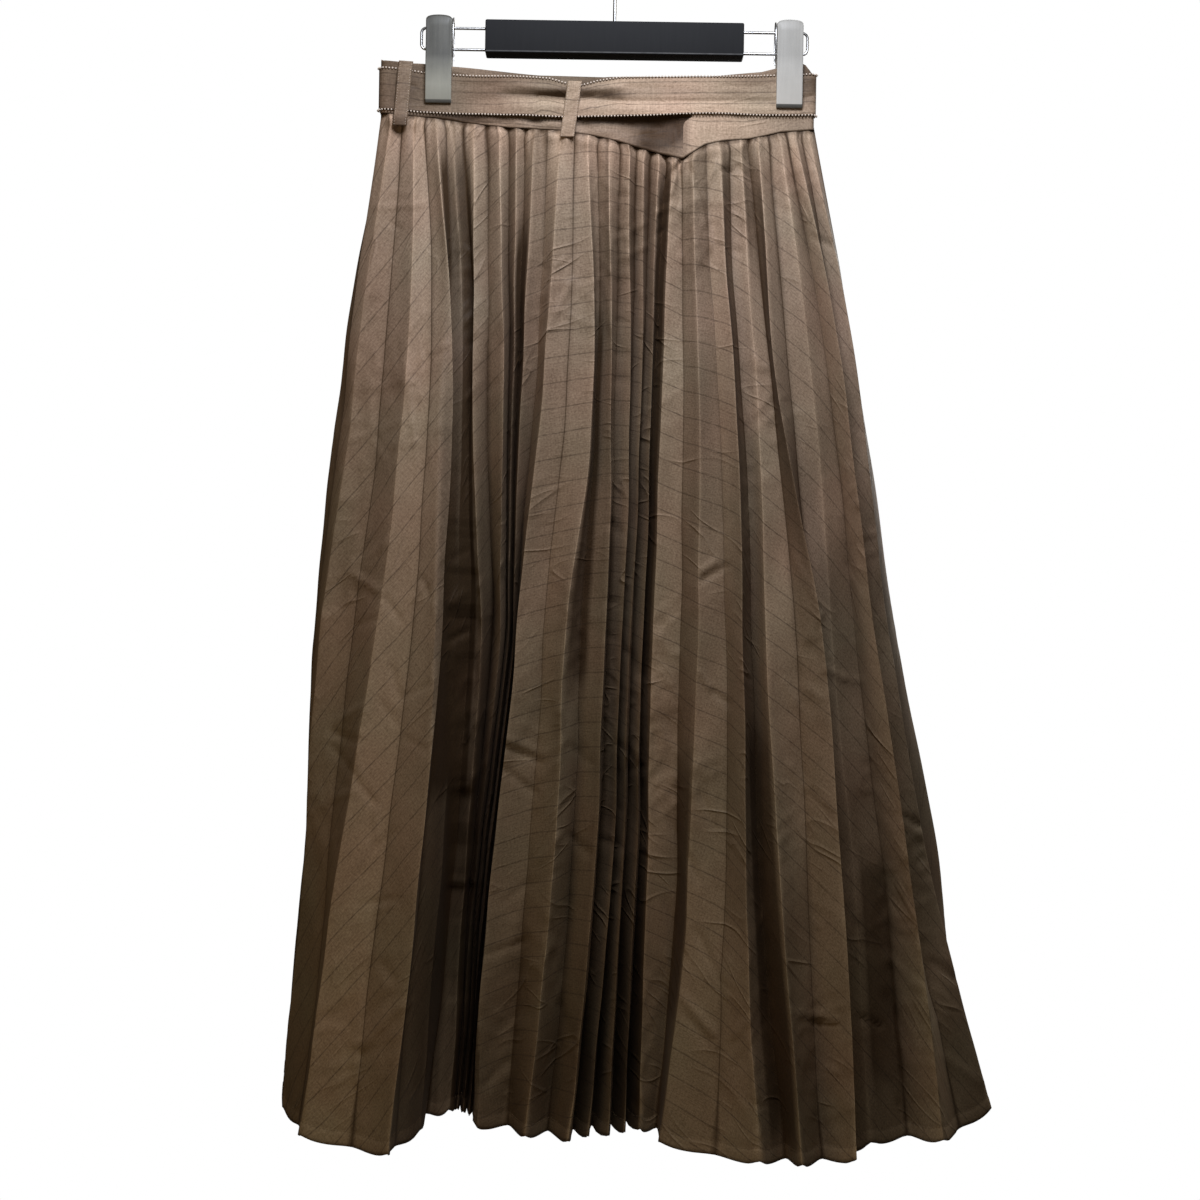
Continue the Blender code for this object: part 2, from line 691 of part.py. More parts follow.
def build_rails():
    """A wire loop from each end of the bar, which a clip slides on."""
    steel = material("rail", (0.6, 0.6, 0.6), 0.3, 1.0)
    radius = RAIL_PITCH / 2
    middle = RAIL_TOP - radius
    bend = RAIL_REACH - radius - RAIL_WIRE / 2
    start = BAR_LENGTH / 2 + GAP
    for name, sign in (("rail_left", -1), ("rail_right", 1)):
        turn = arc(bend, middle, radius, 90, -90, 10)
        points = [(start, 0.0, RAIL_TOP)] + turn + [(start, 0.0, RAIL_TOP - RAIL_PITCH)]
        wire(name, [(sign * x, d, z) for x, d, z in points], RAIL_WIRE, steel)


def jaw_profile(bottom):
    """Depth and height of a jaw's outline: a thin lip, a straight leg and a rounded head."""
    lip_in = GAP + 2 * (WALL + GAP) + waist_open(CLIP_AT) - WALL / 2
    lip_out = lip_in + CLIP_LIP
    head_in = SLIDER_DEPTH + GAP
    head_out = head_in + CLIP_HEAD
    shoulder = CLIP_TOP - CLIP_SHOULDER
    return (
        (lip_in, bottom), (lip_in, JAW_STEP - JAW_STEP_HEIGHT), (head_in, JAW_STEP), (head_in, shoulder),
        (head_in + CLIP_SHOULDER / 2, CLIP_TOP), (head_out - 0.75 * CLIP_SHOULDER, CLIP_TOP),
        (head_out, shoulder), (head_out, bottom + CLIP_LEG),
        (lip_out + CLIP_LIP_TAPER, bottom + CLIP_LIP_HEIGHT), (lip_out - CLIP_LIP_TAPER, bottom),
    )


def prism(name, outline, x0, x1, side):
    """Push an outline of (depth, z) out from x0 to x1."""
    bm = bmesh.new()
    near = [bm.verts.new(place(x0, side * d, z)) for d, z in outline]
    far = [bm.verts.new(place(x1, side * d, z)) for d, z in outline]
    bm.faces.new(near)
    bm.faces.new(far)
    count = len(outline)
    for i in range(count):
        n = (i + 1) % count
        bm.faces.new((near[i], near[n], far[n], far[i]))
    bmesh.ops.recalc_face_normals(bm, faces=bm.faces)
    mesh = bpy.data.meshes.new(name)
    bm.to_mesh(mesh)
    bm.free()
    return mesh


def build_clips():
    for hand, sign in (("left", -1), ("right", 1)):
        middle = sign * CLIP_AT
        x0 = middle - CLIP_WIDTH / 2
        x1 = middle + CLIP_WIDTH / 2
        for part, side, bottom in (("front", 1, CLIP_BOTTOM), ("back", -1, CLIP_BACK_BOTTOM)):
            name = "clip_" + hand + "_" + part
            mesh = prism(name, jaw_profile(bottom), x0, x1, side)
            add_object(name, mesh, material(name, (0.5, 0.51, 0.49), 0.35, 0.4))
        build_slider("clip_" + hand + "_slider", middle)


def build_slider(name, middle):
    """The block between the jaws, bored for the two rails."""
    low = (middle - SLIDER_WIDTH / 2, -SLIDER_DEPTH, SLIDER_BOTTOM)
    high = (middle + SLIDER_WIDTH / 2, SLIDER_DEPTH, SLIDER_TOP)
    block = add_object(name, box_mesh(name, low, high, 0.0), material(name, (0.45, 0.46, 0.46), 0.35, 0.4))
    for number, z in enumerate((RAIL_TOP, RAIL_TOP - RAIL_PITCH)):
        bm = bmesh.new()
        radius = (RAIL_WIRE / 2 + GAP) * MM
        bmesh.ops.create_cone(
            bm, cap_ends=True, segments=BORE_SIDES, radius1=radius, radius2=radius,
            depth=3 * SLIDER_WIDTH * MM,
        )
        for vert in bm.verts:
            vert.co = Vector((vert.co.z, vert.co.y, vert.co.x)) + place(middle, 0.0, z)
        bmesh.ops.recalc_face_normals(bm, faces=bm.faces)
        mesh = bpy.data.meshes.new(name + "_bore")
        bm.to_mesh(mesh)
        bm.free()
        cutter = bpy.data.objects.new(name + "_bore_" + str(number), mesh)
        bpy.context.scene.collection.objects.link(cutter)
        cutter.hide_render = True
        cutter.display_type = "WIRE"
        cut = block.modifiers.new("bore " + str(number), "BOOLEAN")
        cut.operation = "DIFFERENCE"
        cut.object = cutter


def main():
    for obj in list(bpy.data.objects):
        bpy.data.objects.remove(obj, do_unlink=True)
    build_hook()
    build_bar()
    build_rails()
    build_clips()
    build_waistbands()
    build_belt()
    for loop in LOOPS:
        build_loop(*loop)
    build_panel("skirt_front", front_lines(), 1, TAUPE)
    build_panel("skirt_back", back_lines(), -1, TAUPE_DARK)


main()
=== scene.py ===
import math

import bmesh
import bpy
import numpy as np
from mathutils import Matrix, Vector


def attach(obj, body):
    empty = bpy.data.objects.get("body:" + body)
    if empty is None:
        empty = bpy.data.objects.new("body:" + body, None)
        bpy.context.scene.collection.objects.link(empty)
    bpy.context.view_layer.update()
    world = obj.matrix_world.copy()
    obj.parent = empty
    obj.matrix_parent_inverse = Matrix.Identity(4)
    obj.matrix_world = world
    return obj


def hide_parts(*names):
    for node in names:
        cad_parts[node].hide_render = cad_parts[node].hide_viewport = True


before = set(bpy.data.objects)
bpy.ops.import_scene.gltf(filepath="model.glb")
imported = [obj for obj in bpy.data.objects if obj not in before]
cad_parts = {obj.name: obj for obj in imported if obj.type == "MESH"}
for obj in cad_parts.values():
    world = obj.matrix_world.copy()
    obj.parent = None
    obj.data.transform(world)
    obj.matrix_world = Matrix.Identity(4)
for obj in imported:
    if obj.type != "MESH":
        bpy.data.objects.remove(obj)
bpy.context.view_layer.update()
mm = 0.001


def straight(table, x):
    # straight lines between the places of a table, read at x
    return np.interp(x, *zip(*table))


def smooth(places, values, at):
    # one smooth curve through a few values, read at an array of places
    places = np.asarray(places, float)
    values = np.asarray(values, float)
    high = np.minimum(np.arange(len(places)) + 1, len(places) - 1)
    low = np.maximum(np.arange(len(places)) - 1, 0)
    slopes = (values[high] - values[low]) / (places[high] - places[low])
    k = np.clip(np.searchsorted(places, at, side="left") - 1, 0, len(places) - 2)
    span = places[k + 1] - places[k]
    t = (at - places[k]) / span
    return (
        (2 * t**3 - 3 * t**2 + 1) * values[k]
        + (t**3 - 2 * t**2 + t) * span * slopes[k]
        + (3 * t**2 - 2 * t**3) * values[k + 1]
        + (t**3 - t**2) * span * slopes[k + 1]
    )


def ease(share):
    # from 0 to 1 with a soft start and a soft end
    share = np.clip(share, 0.0, 1.0)
    return share * share * (3 - 2 * share)


def fading(x, reach):
    # 1 at the start and about a third at the reach
    return np.exp(-x / reach)


def bell(x, width):
    # 1 in the middle and about a third at the width, on both sides
    return np.exp(-((x / width) ** 2))


def offSpot(points, x, z, wide, high):
    # how far from a spot, squared, in its half widths and half heights
    return ((points[..., 0] - x) / wide) ** 2 + ((points[..., 2] - z) / high) ** 2


def chanceOf(number, start=0.0, step=12.9898):
    # a value from -1 to 1 that looks like chance, for each whole number
    return np.sin(step * number + start)


def unit(v):
    return v / np.maximum(np.linalg.norm(v, axis=-1, keepdims=True), 1e-9)


def turnedAxes(u, v, turn):
    # works on numbers, arrays and sockets
    return u * math.cos(turn) + v * math.sin(turn), v * math.cos(turn) - u * math.sin(turn)


def runOf(points):
    # lengths along a path, from its first point
    return np.concatenate([[0.0], np.cumsum(np.linalg.norm(np.diff(points, axis=0), axis=1))])


def toWorld(points):
    # x, depth and height in mm become x, y, z in metres
    return np.asarray(points, float) * (mm, -mm, mm)


def addObject(name, data):
    obj = bpy.data.objects.new(name, data)
    bpy.context.scene.collection.objects.link(obj)
    return obj


def shadeSmooth(mesh, sharp=None):
    # smooth all over, apart from edges that turn by more than sharp degrees
    mesh.shade_smooth()
    if sharp is not None:
        mesh.set_sharp_from_angle(angle=math.radians(sharp))


def newMesh(name, points, faces, uvs=None, sharp=None, tone=None):
    # tone goes from -1, painted deep shade, to 1, painted light
    mesh = bpy.data.meshes.new(name)
    mesh.from_pydata([tuple(point) for point in toWorld(points).reshape(-1, 3)], [], faces)
    if tone is not None:
        layer = mesh.attributes.new("tone", "FLOAT", "POINT")
        layer.data.foreach_set("value", np.asarray(tone, np.float32).ravel())
    if uvs is not None:
        layer = mesh.uv_layers.new(name="cut")
        corner = np.empty(len(mesh.loops), np.int64)
        mesh.loops.foreach_get("vertex_index", corner)
        layer.data.foreach_set("uv", np.asarray(uvs, np.float32).reshape(-1, 2)[corner].ravel())
    mesh.update()
    shadeSmooth(mesh, sharp)
    return addObject(name, mesh)


def gridFaces(rows, cols, ring=False, flip=False):
    faces = []
    for r in range(rows - 1):
        for c in range(cols if ring else cols - 1):
            n = (c + 1) % cols
            quad = (r * cols + c, r * cols + n, (r + 1) * cols + n, (r + 1) * cols + c)
            faces.append(quad[::-1] if flip else quad)
    return faces


def settled(obj):
    # the object as its modifiers leave it, as a plain mesh
    graph = bpy.context.evaluated_depsgraph_get()
    mesh = bpy.data.meshes.new_from_object(obj.evaluated_get(graph), depsgraph=graph)
    obj.modifiers.clear()
    if obj.type == "MESH":
        old, obj.data = obj.data, mesh
        bpy.data.meshes.remove(old)
        return obj
    name = obj.name
    bpy.data.objects.remove(obj, do_unlink=True)
    return addObject(name, mesh)


def thicken(obj, wall):
    modifier = obj.modifiers.new("wall", "SOLIDIFY")
    modifier.thickness = wall * mm
    modifier.offset = 0.0
    modifier.use_even_offset = False
    return settled(obj)


def bevelled(obj, width, segments, angle):
    modifier = obj.modifiers.new("soft edges", "BEVEL")
    modifier.width = width * mm
    modifier.segments = segments
    modifier.limit_method = "ANGLE"
    modifier.angle_limit = math.radians(angle)
    made = settled(obj)
    shadeSmooth(made.data, 50)
    return made


def outwards(obj):
    bm = bmesh.new()
    bm.from_mesh(obj.data)
    bmesh.ops.recalc_face_normals(bm, faces=bm.faces)
    bm.to_mesh(obj.data)
    bm.free()


def wire(name, points, diameter, finish, steps=5):
    # a round wire along a path; steps is how finely its section is rounded
    curve = bpy.data.curves.new(name, "CURVE")
    curve.dimensions = "3D"
    curve.bevel_depth = diameter / 2 * mm
    curve.bevel_resolution = steps
    curve.use_fill_caps = True
    curve.materials.append(finish)
    spline = curve.splines.new("POLY")
    spline.points.add(len(points) - 1)
    for point, place in zip(spline.points, toWorld(points)):
        point.co = (*place, 1.0)
    made = settled(addObject(name, curve))
    shadeSmooth(made.data, 60)
    return made


def addNode(tree, kind, settings=None, entries=None):
    # a node with its settings first, and then the values or links of its sockets
    node = tree.nodes.new(kind)
    for setting, what in (settings or {}).items():
        setattr(node, setting, what)
    for entry, what in (entries or {}).items():
        what = getattr(what, "socket", what)
        if isinstance(what, bpy.types.NodeSocket):
            tree.links.new(what, node.inputs[entry])
        else:
            node.inputs[entry].default_value = what
    return node


def operators(operation):
    # an operator of Value and its reflected form
    return (lambda self, other: self.maths(operation, self, other),
            lambda self, other: self.maths(operation, other, self))


class Value:
    # a socket that + - * / % and a few more turn into Math nodes
    def __init__(self, tree, socket):
        self.tree = tree
        self.socket = socket

    def maths(self, operation, *given):
        node = addNode(self.tree, "ShaderNodeMath", {"operation": operation}, dict(enumerate(given)))
        return Value(self.tree, node.outputs[0])

    __add__, __radd__ = operators("ADD")
    __sub__, __rsub__ = operators("SUBTRACT")
    __mul__, __rmul__ = operators("MULTIPLY")
    __truediv__, __rtruediv__ = operators("DIVIDE")
    __mod__, __rmod__ = operators("FLOORED_MODULO")

    def __abs__(self):
        return self.maths("ABSOLUTE", self)

    def most(self, other):
        # the greater of the two
        return self.maths("MAXIMUM", self, other)

    def least(self, other):
        return self.maths("MINIMUM", self, other)

    def held(self, low=0.0):
        # kept from low to 1
        return self.most(low).least(1.0)


class Finish:
    # a material with one Principled shader, whose other nodes all come from add()
    def __init__(self, name, **fixed):
        self.material = bpy.data.materials.new(name)
        self.material.use_nodes = True
        self.tree = self.material.node_tree
        self.shader = self.tree.nodes["Principled BSDF"]
        for entry, what in fixed.items():
            self.shader.inputs[entry.replace("_", " ")].default_value = what

    def add(self, kind, settings=None, entries=None, out=0):
        return Value(self.tree, addNode(self.tree, "ShaderNode" + kind, settings, entries).outputs[out])

    def objectPlace(self):
        return self.add("TexCoord", out="Object")

    def split(self, vector):
        node = addNode(self.tree, "ShaderNodeSeparateXYZ", entries={0: vector})
        return [Value(self.tree, socket) for socket in node.outputs]

    def blend(self, share, first, second, how="MIX"):
        # colours: sockets 6 and 7 of a Mix node set to RGBA, output 2
        return self.add("Mix", {"data_type": "RGBA", "blend_type": how}, {0: share, 6: first, 7: second}, 2)

    def dyed(self, base, colour, share=None):
        # the base multiplied by a colour, all over or where the share says
        made = self.blend(1.0, base, colour, "MULTIPLY")
        return made if share is None else self.blend(share, base, made)

    def grain(self, vector, scale, detail=2.0, roughness=0.5):
        return self.add("TexNoise", entries={
            "Vector": vector, "Scale": scale, "Detail": detail, "Roughness": roughness})

    def drawnGrain(self, x, y, z, detail=2.0, roughness=0.5):
        # noise on coordinates of its own, which may be stretched more one way than another
        return self.grain(self.add("CombineXYZ", entries={"X": x, "Y": y, "Z": z}), 1.0, detail, roughness)

    def set(self, entry, what):
        self.tree.links.new(what.socket, self.shader.inputs[entry])

    def bump(self, height, strength, distance):
        self.set("Normal", self.add("Bump", entries={
            "Strength": strength, "Distance": distance, "Height": height}))


clothLook = {
    "sheen": 0.03,
    "sheenTint": (0.8, 0.6, 0.45, 1.0),
    "colour": (0.205, 0.142, 0.100, 1.0),
    "thread": (0.050, 0.032, 0.021, 1.0),
    "pale": (0.430, 0.316, 0.236, 1.0),
    "paleShare": 0.42,      # how far the cloth is from its colour to its pale, before any grain
    # the dark and pale ends of the tone attribute: painted shade and painted light
    "paintedShade": (0.22, 0.18, 0.14, 1.0),
    "paintedLight": (1.75, 1.78, 1.8, 1.0),
    "reddish": (1.03, 0.975, 0.94, 1.0),
    "olive": (0.955, 1.015, 0.965, 1.0),
    "huePatch": (13.0, 2.6),        # patches of hue to a metre, and how sharply they part
    # painted warm shade towards the hem
    "dull": (0.98, 0.96, 0.80, 1.0),
    "warmShadeFrom": -0.3,       # height where it begins, metres, and how fast it grows
    "warmShadeRate": 1.8,
    # grains to a metre along and across the stripes, start, detail, roughness, share in the tone
    "threads": {
        "slub": (46.0, 1250.0, 0.0, 3.0, 0.6, 0.8),
        "warp": (1500.0, 60.0, 3.0, 2.0, 0.5, 0.7),
        "weave": (470.0, 700.0, 7.0, 2.0, 0.6, 1.5),
    },
    # clouds to a metre, roughness, share in the tone
    "clouds": ((9.0, 0.55, 0.3), (42.0, 0.6, 0.35)),
    "stripeWidth": 0.85,    # mm
    "stripeStrength": 0.78,
    "stripeWobble": (9.0, 0.0012),  # wobbles to a metre, and how far they go, metres
    "stripeWorn": (160.0, 30.0),    # breaks to a metre along and across the stripes
    "stripeWear": (1.7, 0.2, 0.15),         # how sharply they part, how much is lost, the least that stays
    "roughness": 0.5,
    "slubRoughness": 0.16,
    "slubHeight": 0.00007,  # metres
    "warpHeight": 0.000042,
    "wrinkleHeight": 0.0009,
    "wrinkleSwell": 1.2,    # soft swell on both sides of a crease, as a share of its height
    "wrinkleSharp": 24.0,
    "wrinklePatch": (15.0, 5.0, 2.6),       # patches to a metre, how sharply they part, how few there are
    # fine creases: turn on the cut, how many to a metre along and across, start, share of their height
    "wrinkles": ((0.24, 7.0, 34.0, 0.0, 1.0), (-0.2, 8.0, 40.0, 3.0, 0.8)),
}


def clothFinish(name, pitch=20.0, stripeAt=0.0, tint=(1.0, 1.0, 1.0, 1.0), wrinkles=1.0):
    # u runs along the stripes and v across them, in metres of the flat cut
    look = Finish(name, Sheen_Weight=clothLook["sheen"], Sheen_Roughness=0.4, Specular_IOR_Level=0.14,
                  Sheen_Tint=clothLook["sheenTint"])
    u, v, _ = look.split(look.add("UVMap", {"uv_map": "cut"}))
    place = look.objectPlace()
    threads = {}
    tones = []
    for thread, (along, across, start, detail, roughness, share) in clothLook["threads"].items():
        threads[thread] = look.drawnGrain(u * along, v * across, start, detail, roughness)
        tones.append((threads[thread] - 0.5) * share)
    for scale, roughness, share in clothLook["clouds"]:
        tones.append((look.grain(place, scale, 3.0, roughness) - 0.5) * share)
    tone = sum(tones[1:], tones[0])
    base = look.blend((tone + clothLook["paleShare"]).held(), clothLook["colour"], clothLook["pale"])
    base = look.dyed(base, tint)
    # the dye leans to red in some places and to olive in others, and towards the hem a painted warm shade
    # makes it yellower
    patches, parting = clothLook["huePatch"]
    patch = ((look.grain(place, patches, 2.0, 0.5) - 0.5) * parting + 0.5).held()
    base = look.dyed(base, look.blend(patch, clothLook["reddish"], clothLook["olive"]))
    _, _, high = look.split(place)
    base = look.dyed(base, clothLook["dull"], ((clothLook["warmShadeFrom"] - high) * clothLook["warmShadeRate"]).held())
    # painted shade where the tone attribute is below 0, painted light where it is above
    shade = look.add("Attribute", {"attribute_name": "tone"}, out="Fac")
    base = look.dyed(base, clothLook["paintedShade"], (0.0 - shade).held())
    base = look.dyed(base, clothLook["paintedLight"], shade.held())
    # stripes of thread, a little wavy and worn away here and there
    wobbles, far = clothLook["stripeWobble"]
    wobble = (look.drawnGrain(u * wobbles, v * wobbles, 1.0) - 0.5) * far
    off = abs((v + wobble + (stripeAt + pitch / 2) * mm) % (pitch * mm) - pitch / 2 * mm)
    line = (1.0 - off / (clothLook["stripeWidth"] * mm)).most(0.0)
    along, across = clothLook["stripeWorn"]
    gain, lost, least = clothLook["stripeWear"]
    broken = (look.drawnGrain(u * along, v * across, 5.0) * gain - lost).held(least)
    look.set("Base Color", look.blend(line * broken * clothLook["stripeStrength"], base, clothLook["thread"]))
    look.set("Roughness", clothLook["roughness"] + threads["slub"] * clothLook["slubRoughness"])
    # fine creases on the bias of the cut: thin ridges, each kept to a short stretch of its line
    height = threads["slub"] * clothLook["slubHeight"] + threads["warp"] * clothLook["warpHeight"]
    tall = wrinkles * clothLook["wrinkleHeight"]
    patches, parting, few = clothLook["wrinklePatch"]
    for turn, along, across, start, share in clothLook["wrinkles"]:
        a, b = turnedAxes(u, v, turn)
        line = look.drawnGrain(a * along, b * across, start, 1.0, 0.4) - 0.5
        ridge = (1.0 - abs(line) * clothLook["wrinkleSharp"]).most(0.0)
        kept = (look.drawnGrain(u * patches, v * patches, start + 20.0, 1.0) * parting - few).held()
        height = height + ridge * ridge * kept * (share * tall)
        height = height + (line * line) * (clothLook["wrinkleSwell"] * tall)
    look.bump(height, 1.0, 1.0)
    return look.material


def threadFinish():
    look = Finish("edgeThread", Roughness=0.55, Sheen_Weight=0.1, Specular_IOR_Level=0.3)
    tone = look.grain(look.objectPlace(), 900.0)
    look.set("Base Color", look.blend(tone, (0.60, 0.50, 0.41, 1.0), (0.80, 0.69, 0.59, 1.0)))
    return look.material


metalLook = {
    "scale": 60.0,          # grains to a metre
    "drawn": (8.0, 8.0, 0.6),       # the brushed grain is fine across and long from top to bottom
    "wornPaintAndHighlight": (0.15, 0.15, 0.15, 1.0),
    "wornSharp": 1600.0,
    "footShade": (0.13, 0.13, 0.12, 1.0),
    "footSharp": 2500.0,
    "roughnessRange": 0.12,
    "scratchDepth": 0.00005,        # metres
}


def metalFinish(name, dark, pale, roughness, metallic=0.0, gloss=0.5, worn=None, foot=None, fall=None):
    look = Finish(name, Metallic=metallic, Specular_IOR_Level=gloss)
    place = look.objectPlace()
    x, y, z = look.split(place)
    scale = metalLook["scale"]
    drawn = (part * scale * share for part, share in zip((x, y, z), metalLook["drawn"]))
    brushed = look.drawnGrain(*drawn, 3.0, 0.6)
    dull = look.grain(place, scale, 3.0, 0.6)
    mottle = brushed * 0.5 + dull * 0.5
    if fall:
        # painted shade at its top, giving way to painted light towards its lower end
        top, bottom = fall
        mottle = mottle * 0.4 + ((top * mm - z) / ((top - bottom) * mm)).held() * 0.8 - 0.1
    base = look.blend(mottle.held(), dark, pale)
    if worn:
        # a paler line along the lower front edge: worn paint, and a painted highlight where the light catches
        # the edge
        line = (1.0 - abs(z - worn * mm) * metalLook["wornSharp"]).most(0.0)
        base = look.blend(line * (look.grain(place, 220.0) + 0.3).least(1.0), base, metalLook["wornPaintAndHighlight"])
    if foot:
        # painted shade along the foot of the jaw
        base = look.blend(((foot * mm - z) * metalLook["footSharp"]).held(), base, metalLook["footShade"])
    look.set("Base Color", base)
    look.set("Roughness", dull * metalLook["roughnessRange"] + (roughness - metalLook["roughnessRange"] / 2))
    look.bump(brushed, 0.15, metalLook["scratchDepth"])
    return look.material


def edgeRowTree():
    # beads or stitches, in a row along a line of edges; sizes are in mm
    tree = bpy.data.node_groups.new("edgeRow", "GeometryNodeTree")
    sides = tree.interface
    sides.new_socket("Line", in_out="INPUT", socket_type="NodeSocketGeometry")
    for name in ("Spacing", "Length", "Width", "Height"):
        sides.new_socket(name, in_out="INPUT", socket_type="NodeSocketFloat").default_value = 1.0
    sides.new_socket("Thread", in_out="INPUT", socket_type="NodeSocketMaterial")
    sides.new_socket("Row", in_out="OUTPUT", socket_type="NodeSocketGeometry")
    given = addNode(tree, "NodeGroupInput").outputs
    spacing = addNode(tree, "ShaderNodeMath", {"operation": "MULTIPLY"}, {0: given["Spacing"], 1: mm})
    curve = addNode(tree, "GeometryNodeMeshToCurve", entries={"Mesh": given["Line"]})
    even = addNode(tree, "GeometryNodeResampleCurve", {"mode": "LENGTH"}, {
        "Curve": curve.outputs[0], "Length": spacing.outputs[0]})
    bead = addNode(tree, "GeometryNodeMeshIcoSphere", entries={"Radius": 0.5 * mm, "Subdivisions": 1})
    soft = addNode(tree, "GeometryNodeSetShadeSmooth", entries={"Geometry": bead.outputs[0]})
    tangent = addNode(tree, "GeometryNodeInputTangent")
    turn = addNode(tree, "FunctionNodeAlignRotationToVector", {"axis": "X"}, {"Vector": tangent.outputs[0]})
    size = addNode(tree, "ShaderNodeCombineXYZ", entries={
        "X": given["Length"], "Y": given["Width"], "Z": given["Height"]})
    row = addNode(tree, "GeometryNodeInstanceOnPoints", entries={
        "Points": even.outputs[0], "Instance": soft.outputs[0], "Rotation": turn.outputs[0],
        "Scale": size.outputs[0]})
    real = addNode(tree, "GeometryNodeRealizeInstances", entries={"Geometry": row.outputs[0]})
    thread = addNode(tree, "GeometryNodeSetMaterial", entries={
        "Geometry": real.outputs[0], "Material": given["Thread"]})
    addNode(tree, "NodeGroupOutput", entries={"Row": thread.outputs[0]})
    return tree


def edgeRow(name, tree, lines, sizes, thread, closed=False):
    # lines are lists of points in mm, x, depth and height
    verts = []
    edges = []
    for line in lines:
        first = len(verts)
        verts += [tuple(point) for point in toWorld(line)]
        edges += [(i, i + 1) for i in range(first, len(verts) - 1)]
        if closed:
            edges.append((len(verts) - 1, first))
    mesh = bpy.data.meshes.new(name)
    mesh.from_pydata(verts, edges, [])
    obj = addObject(name, mesh)
    modifier = obj.modifiers.new("row", "NODES")
    modifier.node_group = tree
    given = {**sizes, "Thread": thread}
    for item in tree.interface.items_tree:
        if item.in_out == "INPUT" and item.name in given:
            modifier[item.identifier] = given[item.name]
    return settled(obj)


waist = {
    "left": -186.0,
    "right": 160.0,
    "endRound": 5.0,
    "gap": 0.3,
    "wall": 1.2,
    "cloth": 0.8,           # thickness that the cloth shows at its edges
    "flare": 0.09,
    "flareFrom": -148.0,
    "open": ((-186, 4.2), (-172, 4.6), (-152, 0.9), (-128, 0.9), (-60, 8.4), (5, 9.4), (60, 8.6),
             (128, 0.9), (152, 0.9), (160, 2.4)),
    "topFront": (
        (-190, -113.5), (-149, -117), (-127, -121), (-110, -125.5), (-75, -129), (-50, -131.5), (-36, -132),
        (-30, -129.2), (-19, -127.3), (-3, -126), (25, -125.4), (68, -125.2), (104, -122.8), (118, -120.5),
        (128, -117.5), (140, -113), (150, -111), (154, -113), (158, -119), (164, -120)),
    "topBack": (
        (-190, -112), (-128, -117), (-60, -121), (0, -121.5), (78, -120), (118, -117.5), (140, -112),
        (150, -110), (154, -112), (158, -119), (164, -120)),
    # lower edge of the front waistband: it dips to a point where the flap ends
    "seamFront": (
        (-190, -156), (-144, -159), (-115, -163), (-82, -167.5), (-42, -169.5), (-16, -173.5), (5, -178),
        (18, -182), (38, -187.5), (55.5, -191), (63, -186), (72.5, -179.5), (88, -175.5), (110, -172.5),
        (134, -166.5), (164, -164)),
    "seamBack": ((-190, -156), (-13, -160), (164, -160)),
    "flapEdge": 55.5,
    "flapUnder": 84.0,      # the left piece ends here, under the flap
    "flapClear": 2.0,       # the flap lies out over it for this much more, and then comes in
    "flapEase": 18.0,
    "flapRound": 7.0,       # the flap's left edge rounds away behind the belt over this height
    "flapRoundFrom": -165.5,
    "flapRoundReach": 11.0,
    "flapPress": 0.8,       # how far the edge itself is pressed in, and how wide
    "flapPressWidth": 1.6,
    "step": 1.6,            # spaces between points along the waist
    "rowsFront": 34,
    "rowsBack": 26,
    # bumps and hollows, as where the gathers push the left piece up between the belt and its seam:
    # x, z, half width, half height, how far it stands out
    "bumpsLeft": (
        (-77, -163.5, 9, 4, 1.3), (-64, -161.5, 6, 3, -1.2), (-47, -164.5, 10, 4, 1.4),
        (-23, -165, 5, 4, -1.3), (-8, -170, 12, 5, 1.5), (14, -166, 9, 5, -1.4), (26, -176, 8, 6, 1.2),
        (44, -183, 6, 7, 1.3), (36, -168, 8, 7, -1.2), (50, -170, 3, 9, -1.0), (-99, -161, 8, 2.5, 0.9),
        (34, -164, 26, 10, -3.6), (0, -163, 20, 5, -1.6)),
    "bumpsFlap": ((96, -166, 26, 6, 0.7), (140, -158, 20, 5, -0.5), (66, -172, 9, 9, 0.6)),
    # shade below the belt, deepest beside the flap: x, z, half width, half height, tone
    "spotsLeft": (
        (46, -163, 22, 15, -0.95), (10, -160, 26, 9, -0.6), (28, -181, 16, 9, -0.6), (38, -173, 20, 11, -0.8),
        (-122, -158, 24, 4, -0.8), (-60, -162, 6, 3, -0.5), (-18, -163, 8, 4, -0.5)),
    "underBelt": -0.45,     # painted shade on the left piece under the belt: from so far above the belt's lowest edge, down to this height
    "underBeltFrom": 5.0,   # edge, down to this height
    "underBeltTo": -163.0,
    "behindBelt": -0.7,     # painted shade on a band's top where it comes up behind the belt
    "flapTone": 0.85,       # painted light, palest next to the flap's edge, and less and less from there to the right
    "flapPaleFrom": 57.0,
    "flapPaleTo": 150.0,
    # painted shade along the lower seams
    "seamTone": -0.9,
    "flapSeamTone": -1.5,
    "seamShade": 0.9,       # how far the painted shade of a seam reaches up, mm
    "backTone": -0.3,
}


def endRound(x):
    # the flat waist closes in a half round at each end
    inset = np.minimum(x - waist["left"], waist["right"] - x)
    share = 1.0 - np.clip(inset / waist["endRound"], 0.0, 1.0)
    return np.sqrt(np.maximum(0.0, 1.0 - share * share))


def waistOpen(x):
    xs, values = (np.array(column, float) for column in zip(*waist["open"]))
    k = np.clip(np.searchsorted(xs, x, side="left") - 1, 0, len(xs) - 2)
    return values[k] + (values[k + 1] - values[k]) * ease((x - xs[k]) / (xs[k + 1] - xs[k]))


def bandDepth(x, z):
    flare = waist["flare"] * np.maximum(0.0, waist["flareFrom"] - z)
    return waist["gap"] / 2 + (waistOpen(x) + flare) * endRound(x)


def seamOf(side):
    return waist["seamFront" if side > 0 else "seamBack"]


def flapLift(x):
    over = waist["wall"] + waist["gap"]
    return over * (1 - ease((x - waist["flapUnder"] - waist["flapClear"]) / waist["flapEase"]))


